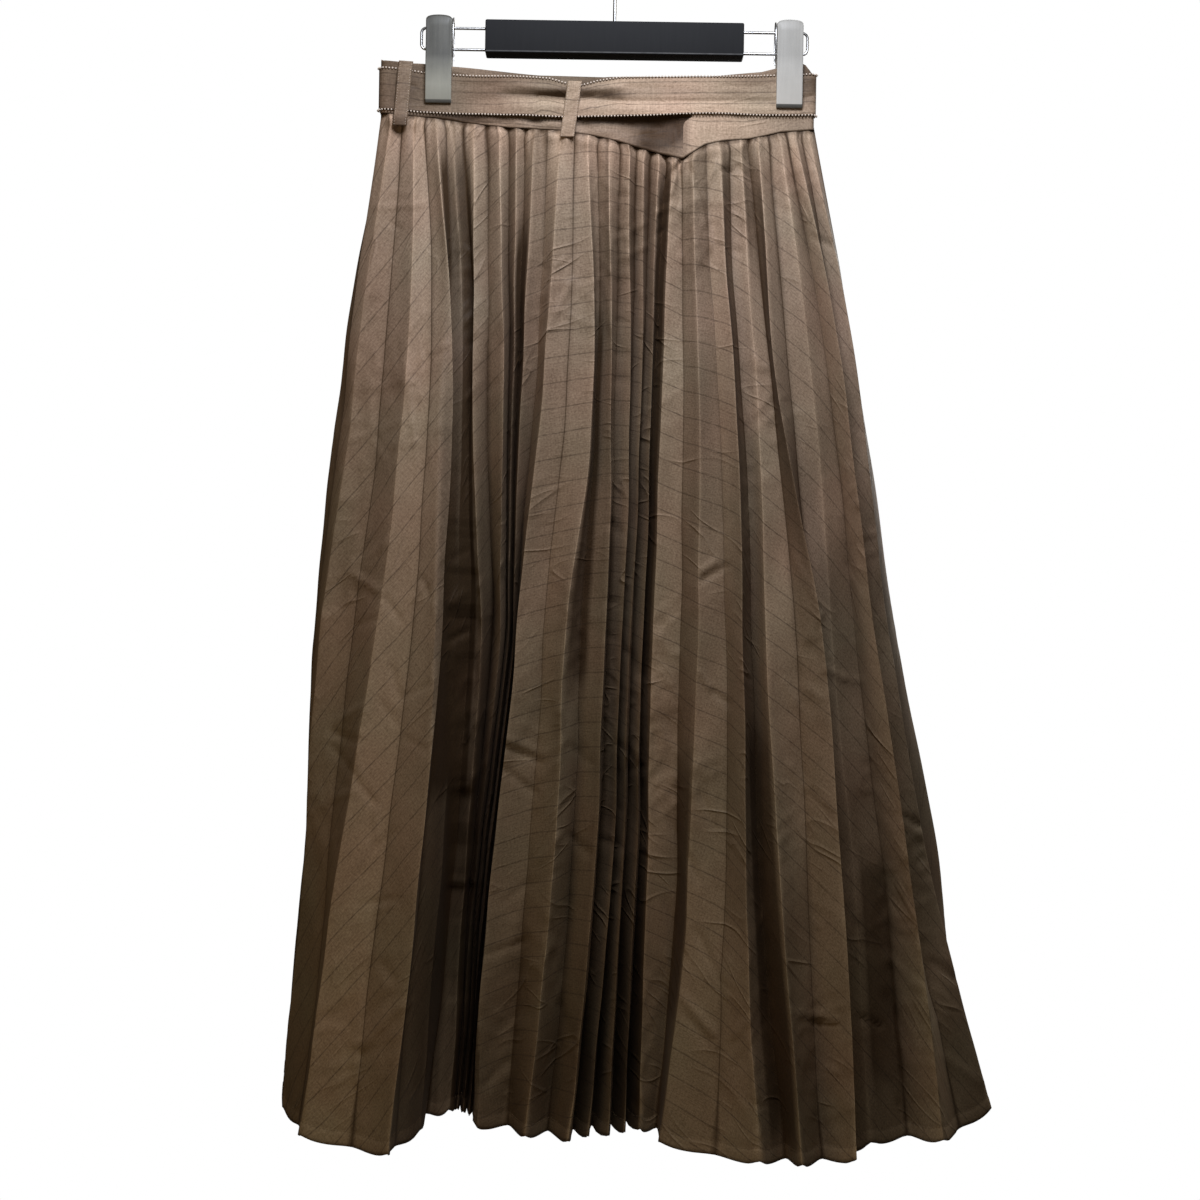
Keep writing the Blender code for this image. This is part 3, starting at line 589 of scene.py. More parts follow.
def waistPlaces(start, end):
    # even steps along the flat waist, much closer together at its two rounded ends
    bends = waist["endRound"] * np.array([0.0, 0.005, 0.02, 0.05, 0.1, 0.18, 0.3, 0.45, 0.62, 0.8])
    xs = np.concatenate([
        np.arange(waist["left"] + waist["endRound"], waist["right"] - waist["endRound"], waist["step"]),
        waist["left"] + bends, waist["right"] - bends, [start, end]])
    return np.unique(np.round(xs[(xs >= start) & (xs <= end)], 4))


def waistSurface(xs, side, top, bottom, lift, rows):
    # the middle of a cloth strip along the waist, which lies by its lift outside the waistband's own middle
    share = np.linspace(0.0, 1.0, rows)[:, None]
    z = straight(top, xs) * (1 - share) + straight(bottom, xs) * share
    x = np.broadcast_to(xs, z.shape)
    depth = bandDepth(x, z)
    along = unit(np.stack([np.gradient(x, axis=1), np.gradient(depth, axis=1)], axis=-1))
    return np.stack([x - along[..., 1] * lift, (depth + along[..., 0] * lift) * side, z], axis=-1)


def swell(points, bumps, side):
    for x, z, wide, high, out in bumps:
        points[..., 1] += side * out * np.exp(-1.4 * offSpot(points, x, z, wide, high))


def spotted(points, spots):
    return sum(tone * np.exp(-offSpot(points, x, z, wide, high)) for x, z, wide, high, tone in spots)


def seamShade(points, tone):
    # painted shade along the strip's lower edge
    return tone * bell(points[..., 2] - points[-1:, :, 2], waist["seamShade"])


def behindBelt(points, top):
    # painted shade where a band's top comes up behind the belt
    return waist["behindBelt"] * ease((points[..., 2] - straight(top, points[..., 0])) / 1.5 + 1.0)


def stripCut(points):
    # the strip laid flat: x along it and y down it, in metres
    run = runOf(points[len(points) // 2])
    down = np.linalg.norm(np.diff(points, axis=0), axis=2)
    fall = np.concatenate([np.zeros((1, points.shape[1])), np.cumsum(down, axis=0)])
    return np.stack([np.broadcast_to(run, fall.shape), -fall], axis=-1) * mm


def stripObject(name, points, finish, tone, side=1, ring=False, wall=waist["cloth"]):
    rows, cols = points.shape[:2]
    tones = np.clip(np.broadcast_to(tone, (rows, cols)), -1.0, 1.0)
    obj = newMesh(name, points, gridFaces(rows, cols, ring, flip=side > 0), stripCut(points), tone=tones)
    obj.data.materials.append(finish)
    return thicken(obj, wall)


def buildWaistbands(finish):
    edge, right = waist["flapEdge"], waist["right"]
    front = waist["topFront"], waist["seamFront"]
    left = waistSurface(waistPlaces(waist["left"], waist["flapUnder"]), 1, *front, 0.0, waist["rowsFront"])
    swell(left, waist["bumpsLeft"], 1)
    xs = waistPlaces(edge, right)
    flap = waistSurface(xs, 1, *front, flapLift(xs), waist["rowsFront"])
    turn = np.clip((flap[..., 2] - waist["flapRoundFrom"]) / waist["flapRound"], 0.0, 1.0)
    aside = waist["flapRound"] * (1 - np.sqrt(1 - turn * turn))
    flap[..., 0] += aside * fading(np.maximum(0.0, flap[..., 0] - edge), waist["flapRoundReach"])
    flap[..., 1] -= waist["flapPress"] * bell(flap[..., 0] - edge, waist["flapPressWidth"])
    swell(flap, waist["bumpsFlap"], 1)
    xs = waistPlaces(waist["left"], right)
    back = waistSurface(xs, -1, waist["topBack"], waist["seamBack"], 0.0, waist["rowsBack"])
    # painted shade under and behind the belt and along the seams, painted light on the flap
    underFrom = min(z for _, z in belt["bottomFront"]) + waist["underBeltFrom"]
    under = ease((underFrom - left[..., 2]) / 3.0) * (left[..., 2] > waist["underBeltTo"])
    leftTone = spotted(left, waist["spotsLeft"]) + waist["underBelt"] * under
    leftTone = leftTone + seamShade(left, waist["seamTone"]) + behindBelt(left, belt["topFront"])
    x = flap[..., 0]
    pale = ease((x - waist["flapPaleFrom"]) / 6.0) * ease((waist["flapPaleTo"] - x) / 60.0)
    flapTone = waist["flapTone"] * pale + seamShade(flap, waist["flapSeamTone"])
    flapTone = flapTone + behindBelt(flap, belt["topFront"])
    backTone = seamShade(back, waist["seamTone"]) + waist["backTone"]
    return [
        (stripObject("bandLeft", left, finish, leftTone), "waistband_front_left", left),
        (stripObject("bandFlap", flap, finish, flapTone), "waistband_front_right", flap),
        (stripObject("bandBack", back, finish, backTone, -1), "waistband_back", back),
    ]


belt = {
    "topFront": (
        (-190, -119.7), (-149, -123.6), (-107, -126), (-75, -127.6), (-51, -129.1), (-38, -132.6),
        (-31, -133.8), (-24, -133.9), (-13, -130.6), (5, -127.5), (37, -126.3), (84, -124.8), (118, -122),
        (150, -120.4), (164, -120)),
    "bottomFront": (
        (-190, -153), (-160, -154.5), (-107, -156), (-88, -157.4), (-40, -159.3), (5, -158), (29, -157),
        (53, -155.3), (95, -153.4), (164, -152.4)),
    "topBack": ((-190, -119.7), (-128, -121.5), (-13, -124), (78, -122.5), (164, -120)),
    "bottomBack": ((-190, -153), (-13, -155), (164, -152.4)),
    "slack": 2.3,           # how far it stands out in front, between where it is held
    "held": 118.0,
    "ease": 40.0,
    "rows": 26,
    "bead": {"Spacing": 2.6, "Length": 1.6, "Width": 1.8, "Height": 1.8},
    "beadOut": 1.0,         # how far the beads stand out from the belt's middle, and past its edge
    "beadPast": 0.2,
    # folds as the camera sees them: start x, z, end x, z, half width, how far it stands out
    "folds": (
        (-90, -137.5, -32, -140.5, 5.5, -1.8), (-62, -138.5, -32, -141, 4.2, -2.2),
        (-28, -140.5, -15, -139.5, 3.4, -1.8), (-14, -141, 10, -141.5, 2.4, -0.9),
        (-6, -142.5, 66, -141.5, 2.2, -0.8), (60, -141.5, 134, -140, 2, -0.9), (-28, -135, 10, -131, 3, 1.0),
        (-78, -131, -36, -135, 3.5, 0.9), (-90, -148, 40, -149, 6, 0.8),
        (150, -138, 160, -136, 2.2, -1.2), (84, -129.5, 120, -129, 1.8, -0.5),
        (-172, -131, -158, -133, 3, -0.7), (-126, -131, -96, -132, 2, -0.4),
        (2, -131, 60, -131.5, 1.8, -0.4), (100, -147, 130, -148, 3, 0.6)),
    # on the back: x, z, half width, half height, how far it stands out
    "bumpsBack": ((-90, -138, 40, 6, 0.5), (40, -136, 50, 7, 0.6), (110, -140, 24, 5, -0.4)),
    # painted shade at the left and painted light right of the middle: x and tone
    "fade": (
        (-190, -0.42), (-110, -0.36), (-60, -0.22), (-20, 0.0), (20, 0.45), (90, 0.6), (130, 0.2),
        (164, 0.0)),
    # painted shade in and between the folds and under its top edge, painted light below: x, z, half width,
    # half height, tone
    "spots": (
        (-50, -140, 22, 3.2, -0.55), (-38, -140.5, 9, 3.6, -0.4), (-62, -148.5, 34, 4.5, 0.4),
        (-22, -140, 7, 2.4, -0.3), (94, -136, 14, 3, -0.4), (-3, -141, 15, 3.2, -1.0),
        (-20, -138.5, 30, 3.5, -0.4), (156, -128, 9, 9, -0.8), (45, -137, 30, 2.5, -0.35),
        (-165, -136, 16, 20, -0.4), (112, -128, 16, 6, -0.4), (60, -124, 70, 2, -0.6),
        (2, -131, 16, 3, 0.5)),
    "lowTone": 0.35,        # painted light on its lower part, from this height down and this x on
    "lowFrom": (-125.0, -142.0),
    "backTone": -0.1,
    "beadTone": -1.0,       # painted shade along both edges, where the beads are sewn on
}


def beltLift(x, side):
    slack = belt["slack"] * ease((belt["held"] - np.abs(x)) / belt["ease"]) if side > 0 else 0.0
    return waist["wall"] + waist["gap"] + slack


def beltEdges(side):
    return (belt["topFront"], belt["bottomFront"]) if side > 0 else (belt["topBack"], belt["bottomBack"])


def buildBelt(finishes, tree):
    xs = waistPlaces(waist["left"], waist["right"])
    front, back = (
        waistSurface(xs, side, *beltEdges(side), beltLift(xs, side), belt["rows"]) for side in (1, -1))
    front = crease(front, belt["folds"], 1, True)
    swell(back, belt["bumpsBack"], -1)
    points = np.concatenate([front, back[:, ::-1]], axis=1)
    x, z = front[..., 0], front[..., 2]
    fromX, fromZ = belt["lowFrom"]
    # painted light and shade across the front of the belt
    tone = smooth(*zip(*belt["fade"]), x) + spotted(front, belt["spots"])
    tone = tone + belt["lowTone"] * ease((fromZ - z) / 5.0) * ease((x - fromX) / 20.0)
    tone = np.concatenate([tone, np.full(back.shape[:2], belt["backTone"])], axis=1)
    # painted shade on the first and last rows
    tone[[0, -1]] = belt["beadTone"]
    obj = stripObject("sash", points, finishes["belt"], tone, ring=True)
    around = unit(np.roll(points, -1, axis=1) - np.roll(points, 1, axis=1))
    outer = np.stack([-around[..., 1], around[..., 0], np.zeros(around.shape[:2])], axis=-1) * belt["beadOut"]
    past = np.array([0.0, 0.0, belt["beadPast"]])
    edges = [points[0] + outer[0] + past, points[-1] + outer[-1] - past]
    beads = edgeRow("beltBeads", tree, edges, belt["bead"], finishes["thread"], closed=True)
    return obj, beads, points


loops = {
    "width": 11.0,
    "wall": 1.1,            # room that a strap takes, and the thickness that it shows
    "cloth": 1.0,
    "slack": 0.7,
    "foot": 3.2,
    "rows": 52,
    "columns": 11,
    "edgeIn": 0.35,         # how far its edges turn in
    "rumple": 0.22,
    "stitch": {"Spacing": 2.1, "Length": 1.2, "Width": 0.4, "Height": 0.3},
    # above is how far a strap runs on above the belt
    # tone is painted light and shade on each strap, and footTone painted shade on its lower end
    "straps": (
        {"node": "belt_loop_left", "side": 1, "xTop": -166.0, "xBottom": -170.0, "zBottom": -167.0,
         "above": 6.0, "tone": -0.35, "footTone": -0.5},
        {"node": "belt_loop_centre", "side": 1, "xTop": -31.0, "xBottom": -36.5, "zBottom": -175.5,
         "above": 0.0, "tone": 0.35, "footTone": 0.0},
        {"node": "belt_loop_back", "side": -1, "xTop": -13.0, "xBottom": -13.0, "zBottom": -168.0,
         "above": 0.0, "tone": 0.0, "footTone": 0.0}),
}


def strapPath(side, xTop, zBottom, above):
    # depth and height of a strap from the band's top, over the belt and down past its lower edge
    topTable, bottomTable = beltEdges(side)
    half = loops["wall"] / 2
    clear = waist["wall"] / 2 + waist["gap"] + half
    beltTop = max(straight(topTable, xTop + shift * loops["width"]) for shift in (-0.6, 0.0, 0.6))
    beltBottom = straight(bottomTable, xTop)
    crest = beltTop + waist["gap"] + half
    band = bandDepth(xTop, beltTop) + clear
    front = bandDepth(xTop, beltBottom) + beltLift(xTop, side) + clear + loops["slack"]
    foot = bandDepth(xTop, zBottom) + clear + loops["foot"]
    head = [(band, crest + above), (band, crest + 1.8)] if above > 0 else [(band, crest + 0.4)]
    return np.array(head + [
        ((band + front) / 2, crest + 0.8), (front, crest - 0.8), (front, beltTop - 8.0),
        (front, beltBottom - 1.0), ((front + foot) / 2 + 0.4, beltBottom - 5.0), (foot, zBottom)])


def buildStrap(finishes, tree, node, side, xTop, xBottom, zBottom, above, tone, footTone):
    name = "strap" + node.split("_")[-1].title()
    path = strapPath(side, xTop, zBottom, above)
    run = runOf(path)
    at = np.linspace(0.0, run[-1], loops["rows"])
    depth, z = smooth(run, path[:, 0], at), smooth(run, path[:, 1], at)
    across = np.linspace(-1.0, 1.0, loops["columns"]) * loops["width"] / 2
    x = (xTop + (xBottom - xTop) * (z[0] - z) / (z[0] - z[-1]))[:, None] + across
    heights = np.broadcast_to(z[:, None], x.shape)
    # it bends across its width as the band behind it does
    bend = bandDepth(x, heights) - bandDepth(x - across, heights)
    edge = -loops["edgeIn"] * (np.abs(across) / across.max()) ** 6
    waves = np.sin(at[:, None] * 0.55 + across * 0.4 + xTop) * np.sin(at[:, None] * 0.21 + 1.0)
    points = np.stack([x, side * (depth[:, None] + bend + edge + loops["rumple"] * waves), heights], axis=-1)
    # painted shade towards the strap's foot
    tones = tone + footTone * ease((at / at[-1] - 0.75) * 4)
    obj = stripObject(name, points, finishes["loop"], tones[:, None], side, wall=loops["cloth"])
    raised = points + (0.0, side * 0.52, 0.0)
    stitches = edgeRow(name + "Stitches", tree, [raised[2:-1, 1], raised[2:-1, -2]], loops["stitch"],
                       finishes["thread"])
    return obj, stitches, points


cloth = {
    "level": -159.0,        # height that lengths down the cloth start from, mm
    "length": 814.0,
    "faceTop": 10.8,        # width of one pleat face at the waist and at the hem
    "faceHem": 41.0,
    "sewn": 0.42,           # share of a pleat's height left where it is sewn in
    "sewnLength": 26.0,
    "flattest": 0.22,       # least height of a pleat, as a share of its face
    "steepest": 0.6,        # least fall of a row, as a share of the cloth above it
    "middleHem": -103.0,    # surface midway between front and back, at the hem
    "middlePower": 1.9,
    "middleClear": 2.4,
    "rows": 286,
    "rowPower": 1.12,       # above 1, rows lie closer together at the waist
    "columns": 330,         # points across a whole panel, shared out by how wide a face is seen
    "mostAcross": 16,
    "foldRadius": 0.7,
    "mostRadius": 0.2,      # as a share of a face's width
    "topRadius": 0.5,       # folds are softer still where they are sewn in, and at the hem
    "topSoft": 45.0,
    "hemRadius": 4.5,
    "hemSoft": 60.0,
    "bow": 0.04,            # how far a face bows out, as a share of its width
    "hem": 11.0,            # depth of the turned hem
    "hemStand": 0.3,        # how far its doubled cloth stands out, and how far its stitches pull it in
    "hemPull": 0.2,
    "hemLift": 2.6,         # the hem rises a little at each outer fold and sags between two
    "hemSag": 0.55,
    "hemWaveWidth": 0.17,   # of its rise at a fold, as a share of a face, and how far up the cloth it goes
    "hemWaveLength": 45.0,
    # rows of the turned edge: rows up from the hem, how far behind and how far below it
    "hemTurn": ((0, 0.35, -0.35), (0, 0.75, 0.0), (3, 0.8, 0.0), (4, 0.8, 0.0)),
    "stitch": {"Spacing": 3.2, "Length": 2.1, "Width": 0.45, "Height": 0.3},
    "stripeTurn": 1.2,      # the stripes turn a little faster from pleat to pleat than the cut does
    "stripeCentre": 23.0,   # number of the fold line that lies straight on the grain
    "seamFirm": 1.1,        # faces from a side seam over which the cloth keeps still
}

stations = (0.0, 216.0, 416.0, 624.0, 814.0)      # lengths down the cloth
depthStations = (0.0, 216.0, 814.0)

# outer folds of the front: x at seam, hip, knee, calf, hem, then depth at hip and hem
frontFolds = (
    (-178, -204, -230, -246, -260, 0, -50),
    (-158, -160, -182, -211, -236, 22, 32),
    (-142, -123, -129, -142, -158, 32, 84),
    (-129, -116, -121, -130, -144, 4, -4),
    (-110, -108, -101, -112, -124, 20, -44),
    (-92, -84, -86, -104, -118, 18, -52),
    (-77, -77, -80, -99, -113, 8, -46),
    (-62, -70, -75, -94, -108, 13, -34),
    (-42, -53, -71, -90, -103, 24, -8),
    (-20, -15, -31, -41, -57, 24, 16),
    (-3, -1, -2, -11, -24, 20, 26),
    (12, 14, 11, 3, -10, 15, 9),
    (26, 23, 18, 12, 6, 11, 4),
    (37, 31, 28, 23, 19, 9, -8),
    (48, 41, 37, 33, 31, 14, -18),
    (63, 70, 72, 67, 48, 26, 22),
    (82, 99, 106, 112, 122, 30, 82),
    (100, 117, 124, 137, 154, 17, 110),
    (115, 132, 167, 184, 197, 36, 94),
    (130, 162, 178, 200, 215, 20, 26),
    (144, 185, 211, 243, 270, 30, 44),
    (154, 200, 227, 268, 322, 8, -26),
)
sideSeams = (
    (-186, -213, -236, -250, -266, -10, -88),
    (160, 200, 228, 268, 316, -4, -68),
)
# lobes of the back, with the number of pleats from the lobe before
backFolds = (
    (1, -183, -220, -241, -254, -274, -26, -138),
    (2, -150, -180, -198, -208, -220, -44, -198),
    (2, -118, -140, -152, -160, -170, -30, -148),
    (3, -84, -98, -106, -114, -122, -48, -208),
    (2, -56, -62, -66, -71, -76, -32, -156),
    (3, -20, -18, -15, -12, -9, -50, -214),
    (2, 14, 24, 31, 38, 45, -32, -158),
    (3, 52, 66, 78, 90, 102, -48, -210),
    (2, 84, 104, 121, 137, 153, -30, -150),
    (2, 116, 146, 169, 191, 214, -40, -192),
    (2, 142, 182, 212, 246, 276, -28, -146),
    (1, 158, 204, 238, 284, 306, -16, -104),
)


def planReader(xs, depths):
    # gives x and depth at any length down the cloth, from a few of each
    return lambda length: np.stack([
        smooth(stations, xs, length), smooth(depthStations, depths, length)], axis=-1)


def foldReader(numbers, side):
    start = numbers[0]
    inside = np.clip(start, waist["left"] + 1.5, waist["right"] - 1.5)
    lift = flapLift(start) if side > 0 and start >= waist["flapEdge"] else 0.0
    top = bandDepth(inside, straight(seamOf(side), start)) + lift + waist["wall"]
    return planReader(numbers[:5], (side * top, *numbers[5:]))


def backReaders():
    # the folds between two lobes are shared out between them, a little unevenly
    readers = []
    before = None
    for number, (pleats, *numbers) in enumerate(backFolds):
        for step in range(1, pleats + 1):
            share = step / pleats
            uneven = 0.0 if step == pleats else 0.07 * math.sin(2.6 * number + 1.9 * step)
            mixed = numbers
            if before:
                shares = [share + uneven] * 5 + [ease(share)] * 2
                mixed = [a + (b - a) * s for a, b, s in zip(before, numbers, shares)]
            readers.append(foldReader(mixed, -1))
        before = numbers
    return readers


def seamReader(numbers, side):
    # the panels overlap by a little at the sewn side seams
    return planReader(numbers[:5], [depth - side * waist["gap"] / 2 for depth in (0.0, *numbers[5:])])


def levelShares():
    # rows lie closer together at the waist, and again where the hem is turned
    hem = cloth["hem"]
    last = 1.0 - np.array([hem + 1.4, hem, hem - 1.4, 6.0, 3.2, 1.6, 0.0]) / cloth["length"]
    even = np.linspace(0.0, 1.0, cloth["rows"] - len(last))
    return np.concatenate([even ** cloth["rowPower"] * (last[0] - 0.0035), last])


def pleatAngle():
    # of one face on the flat sector
    return (cloth["faceHem"] - cloth["faceTop"]) / cloth["length"]


def faceWidth(level):
    return cloth["faceTop"] + pleatAngle() * level


def pleatedGrid(readers, side):
    # corners of the zigzag, one row for each length down the cloth
    ends = [seamReader(row, side) for row in sideSeams]
    headX = [float(read(np.zeros(1))[0, 0]) for read in (ends[0], *readers, ends[1])]
    tops = headX[:1]
    for a, b in zip(headX[1:-2], headX[2:-1]):
        tops += [a, (a + b) / 2]
    tops += headX[-2:]
    starts = straight(seamOf(side), np.array(tops)) - waist["gap"]
    dips = cloth["level"] - starts
    shares = levelShares()
    lengths = dips + shares[:, None] * (cloth["length"] - dips)
    level = shares * cloth["length"]
    width = faceWidth(level)
    opened = cloth["sewn"] + (1 - cloth["sewn"]) * np.minimum(1.0, level / cloth["sewnLength"])
    middle = cloth["middleHem"] * shares ** cloth["middlePower"]
    grid = np.empty((len(level), len(tops), 3))
    plans = [read(np.maximum(0.0, lengths[:, 2 * i + 1])) for i, read in enumerate(readers)]
    for column, read in ((0, ends[0]), (-1, ends[1])):
        grid[:, column, :2] = read(np.maximum(0.0, lengths[:, column]))
    for i, plan in enumerate(plans):
        grid[:, 2 * i + 1, :2] = plan
    # the inner folds lie behind and between the outer ones, as far as the width of a face lets them
    for i, (plan, after) in enumerate(zip(plans, plans[1:])):
        chord = after - plan
        centre = (plan + after) / 2
        half = np.linalg.norm(chord, axis=1) / 2
        height = np.sqrt(np.maximum(width**2 - half**2, (cloth["flattest"] * width) ** 2)) * opened
        across = unit(np.stack([chord[:, 1], -chord[:, 0]], axis=1)) * side
        # the wider a pleat is drawn open, the more it points square to its chord and not straight in
        shut = np.clip(1.6 * (1.0 - half / width), 0.0, 1.0)[:, None]
        way = unit(across * (1 - shut) + np.array([0.0, -side]) * shut)
        room = (centre[:, 1] - middle) * side - cloth["middleClear"]
        inwards = np.maximum(-way[:, 1] * side, 1e-6)
        height = np.where(way[:, 1] * side < 0, np.minimum(height, np.maximum(0.4, room / inwards)), height)
        grid[:, 2 * i + 2, :2] = centre + way * height[:, None]
    grid[0, :, 2] = starts
    for r in range(1, len(grid)):
        fall = lengths[r] - lengths[r - 1]
        aside = np.linalg.norm(grid[r, :, :2] - grid[r - 1, :, :2], axis=1)
        drop = np.sqrt(np.maximum(fall**2 - aside**2, (cloth["steepest"] * fall) ** 2))
        grid[r, :, 2] = grid[r - 1, :, 2] - drop
    return grid, level


def faceCounts(grid):
    # points across each face between its two folds, shared out by how wide it is seen
    seen = np.abs(np.diff(grid[..., 0], axis=1)).max(axis=0)
    spare = cloth["columns"] - 3 * len(seen) - 1
    return np.clip(np.round(seen / seen.sum() * spare), 1, cloth["mostAcross"]).astype(int)


def crossFaces(grid, level, side, seed):
    # round each fold and put points across each face; also gives each column's place along the pleats, whose
    # whole numbers are the folds, and whether it is an outer fold (1) or an inner one (-1)
    rows, corners, _ = grid.shape
    columns = []
    along = np.linspace(0.0, 1.0, rows)
    soft = cloth["foldRadius"] + cloth["topRadius"] * fading(level, cloth["topSoft"])
    soft = soft + cloth["hemRadius"] * ease(1 - (cloth["length"] - level) / cloth["hemSoft"])
    for k, count in enumerate(faceCounts(grid)):
        corner = grid[:, k]
        face = grid[:, k + 1] - corner
        size = np.linalg.norm(face, axis=1, keepdims=True)
        run = face / size
        before = unit(corner - grid[:, k - 1]) if k else run
        radius = np.minimum(soft[:, None], cloth["mostRadius"] * size)
        fold = 0 if k == 0 else 1 if k % 2 else -1
        columns.append((corner + 0.25 * radius * (run - before), np.full(rows, float(k)), fold))
        normal = np.stack([-run[:, 1], run[:, 0], np.zeros(rows)], axis=1) * side
        chance = chanceOf(k + 1, 78.233 * seed)
        # its two folds stay put, and its middle bows in and out by turns down the cloth
        sway = 0.5 * np.sin(along * (7.0 + 2.0 * chance) + 9.0 * chance)
        sway = sway + 0.35 * np.sin(along * 17.0 + 31.0 * chance)
        bow = size[:, 0] * cloth["bow"] * (chance * 0.6 + sway) * ease(along * 9.0)
        start = radius[:, 0] / size[:, 0]
        for share in np.linspace(0.0, 1.0, count + 2):
            at = start * (1 - 2 * share) + share
            out = bow * np.sin(math.pi * share)
            columns.append((corner + face * at[:, None] + normal * out[:, None], k + at, 0))
    columns.append((grid[:, -1], np.full(rows, float(corners - 1)), 0))
    points, places, folds = zip(*columns)
    return np.stack(points, axis=1), np.stack(places, axis=1), np.array(folds, float)


def flatCut(places, level):
    # where a point lies on the flat sector, in metres: x along the stripes, y across them
    radius = cloth["faceTop"] / pleatAngle() + level[:, None]
    angle = (places - cloth["stripeCentre"]) * pleatAngle() * cloth["stripeTurn"]
    return np.stack([radius * np.sin(angle), -radius * np.cos(angle)], axis=-1) * mm


# slow drifts that carry front and back alike: wavelength along x, depth and height, how far each moves x and
# depth, and where it starts
drifts = (
    (310, 240, 420, 0.9, 1.5, 0.3),
    (170, 150, 230, 0.5, 1.2, 1.9),
    (95, 120, 130, 0.25, 0.9, 4.1),
    (61, 90, 84, 0.15, 0.6, 2.7),
)


def drift(points, level):
    fade = ease(level / 120.0)[:, None]
    moved = points.copy()
    for alongX, alongD, alongZ, dx, dd, phase in drifts:
        wave = points[..., 0] / alongX + points[..., 1] / alongD + points[..., 2] / alongZ
        other = points[..., 0] / alongX - points[..., 2] / (alongZ * 1.3)
        moved[..., 0] += dx * fade * np.sin(2 * math.pi * wave + phase)
        moved[..., 1] += dd * fade * np.sin(2 * math.pi * other + 2.0 * phase)
    return moved


def softGrid(rng, cells, u, v):
    # smooth noise from 0 to 1, read from a small square of chance values
    values = rng.random((cells + 3, cells + 3))
    fu, fv = u % cells, v % cells
    i, j = fu.astype(int), fv.astype(int)
    su, sv = ease(fu - i), ease(fv - j)
    low = values[j, i] * (1 - su) + values[j, i + 1] * su
    high = values[j + 1, i] * (1 - su) + values[j + 1, i + 1] * su
    return low * (1 - sv) + high * sv


worn = {
    "patch": (75.0, 90.0),  # creases come in patches of this size, mm along and across the stripes
    "patchGain": (2.4, 0.9),        # how sharply the patches part, and how few there are
    # length and width of the creases, how they are turned on the cut and how far they stand out
    "creases": ((46, 13, 0.9, 1.5), (40, 15, -0.6, 1.2), (26, 9, 0.3, 0.8)),
    "from": 60.0,           # they grow over this length below the band
}


def crumple(points, flat, level, side, seed):
    # small worn-in creases all over, on the bias of the flat cut
    rng = np.random.default_rng(seed)
    u, v = (flat[..., i] / mm + 4000.0 for i in (0, 1))     # far enough along to be above 0 everywhere
    long, wide = worn["patch"]
    parting, few = worn["patchGain"]
    patch = np.clip(softGrid(rng, 40, u / long, v / wide) * parting - few, 0.0, 1.0)
    patch = patch * ease(level / worn["from"])[:, None]
    moved = points.copy()
    for long, wide, turn, out in worn["creases"]:
        a, b = turnedAxes(u, v, turn)
        ridge = 1.0 - np.abs(softGrid(rng, 60, a / long, b / wide) * 2 - 1)
        moved[..., 1] += side * out * (ridge**3 - 0.25) * patch
    return moved


gathers = {
    "puff": 1.7,            # how far the small puffs under the band stand out, where and how wide
    "puffAt": 6.0,
    "puffWidth": 4.5,
    "tuck": 2.0,            # how far the tucks between them go in, and how far down
    "tuckReach": 22.0,
    "sway": 1.7,            # how far the folds go aside, and how far down
    "swayReach": 38.0,
}


def gather(points, places, level, side):
    # small puffs right under the band, one on each side of every fold
    down, at = level[:, None], places[0]
    chance = 0.5 + 0.5 * chanceOf(np.round(at), 0.7)
    uneven = 0.2 + 0.3 * np.sin(at * 2.4) + 0.2 * np.sin(at * 0.7 + 1.0) + 0.6 * chance
    puff = bell(down - gathers["puffAt"], gathers["puffWidth"]) * uneven
    tuck = fading(down, gathers["tuckReach"]) * ease(down / 3.0)
    tuck = tuck * fading(down, 16.0 + 60.0 * chance) * (0.6 + chance)
    tuck = tuck * np.sin(at * 2 * math.pi + 1.3 * np.sin(at * 1.7)) * (0.6 + 0.4 * np.sin(at * 0.9))
    sway = fading(down, gathers["swayReach"]) * ease(down / 9.0) * np.sin(places * 1.15 + 0.8)
    moved = points.copy()
    moved[..., 0] += gathers["sway"] * sway
    moved[..., 1] += side * (gathers["puff"] * puff + gathers["tuck"] * tuck)
    return moved


# stretches of the front's hem, x from and to, how far its folds lean aside and how much their depth is kept
hemManners = ((-128.0, -102.0, 0.0, 0.35), (-24.0, 36.0, 2.4, 1.0))


def pressAside(points, places, level):
    # narrow pleats pressed to one side, and deep ones let go flat
    low = ease(level / 300.0)[:, None]
    moved = points.copy()
    x = points[..., 0]
    for start, end, aside, kept in hemManners:
        share = ease((x - start + 6.0) / 12.0) * ease((end + 6.0 - x) / 12.0) * low
        moved[..., 0] -= aside * share * np.cos(math.pi * places)
        inside = (x > start) & (x < end)
        middle = (points[..., 1] * inside).sum(axis=1) / np.maximum(1, inside.sum(axis=1))
        moved[..., 1] += (middle[:, None] - points[..., 1]) * (1.0 - kept) * share
    return moved


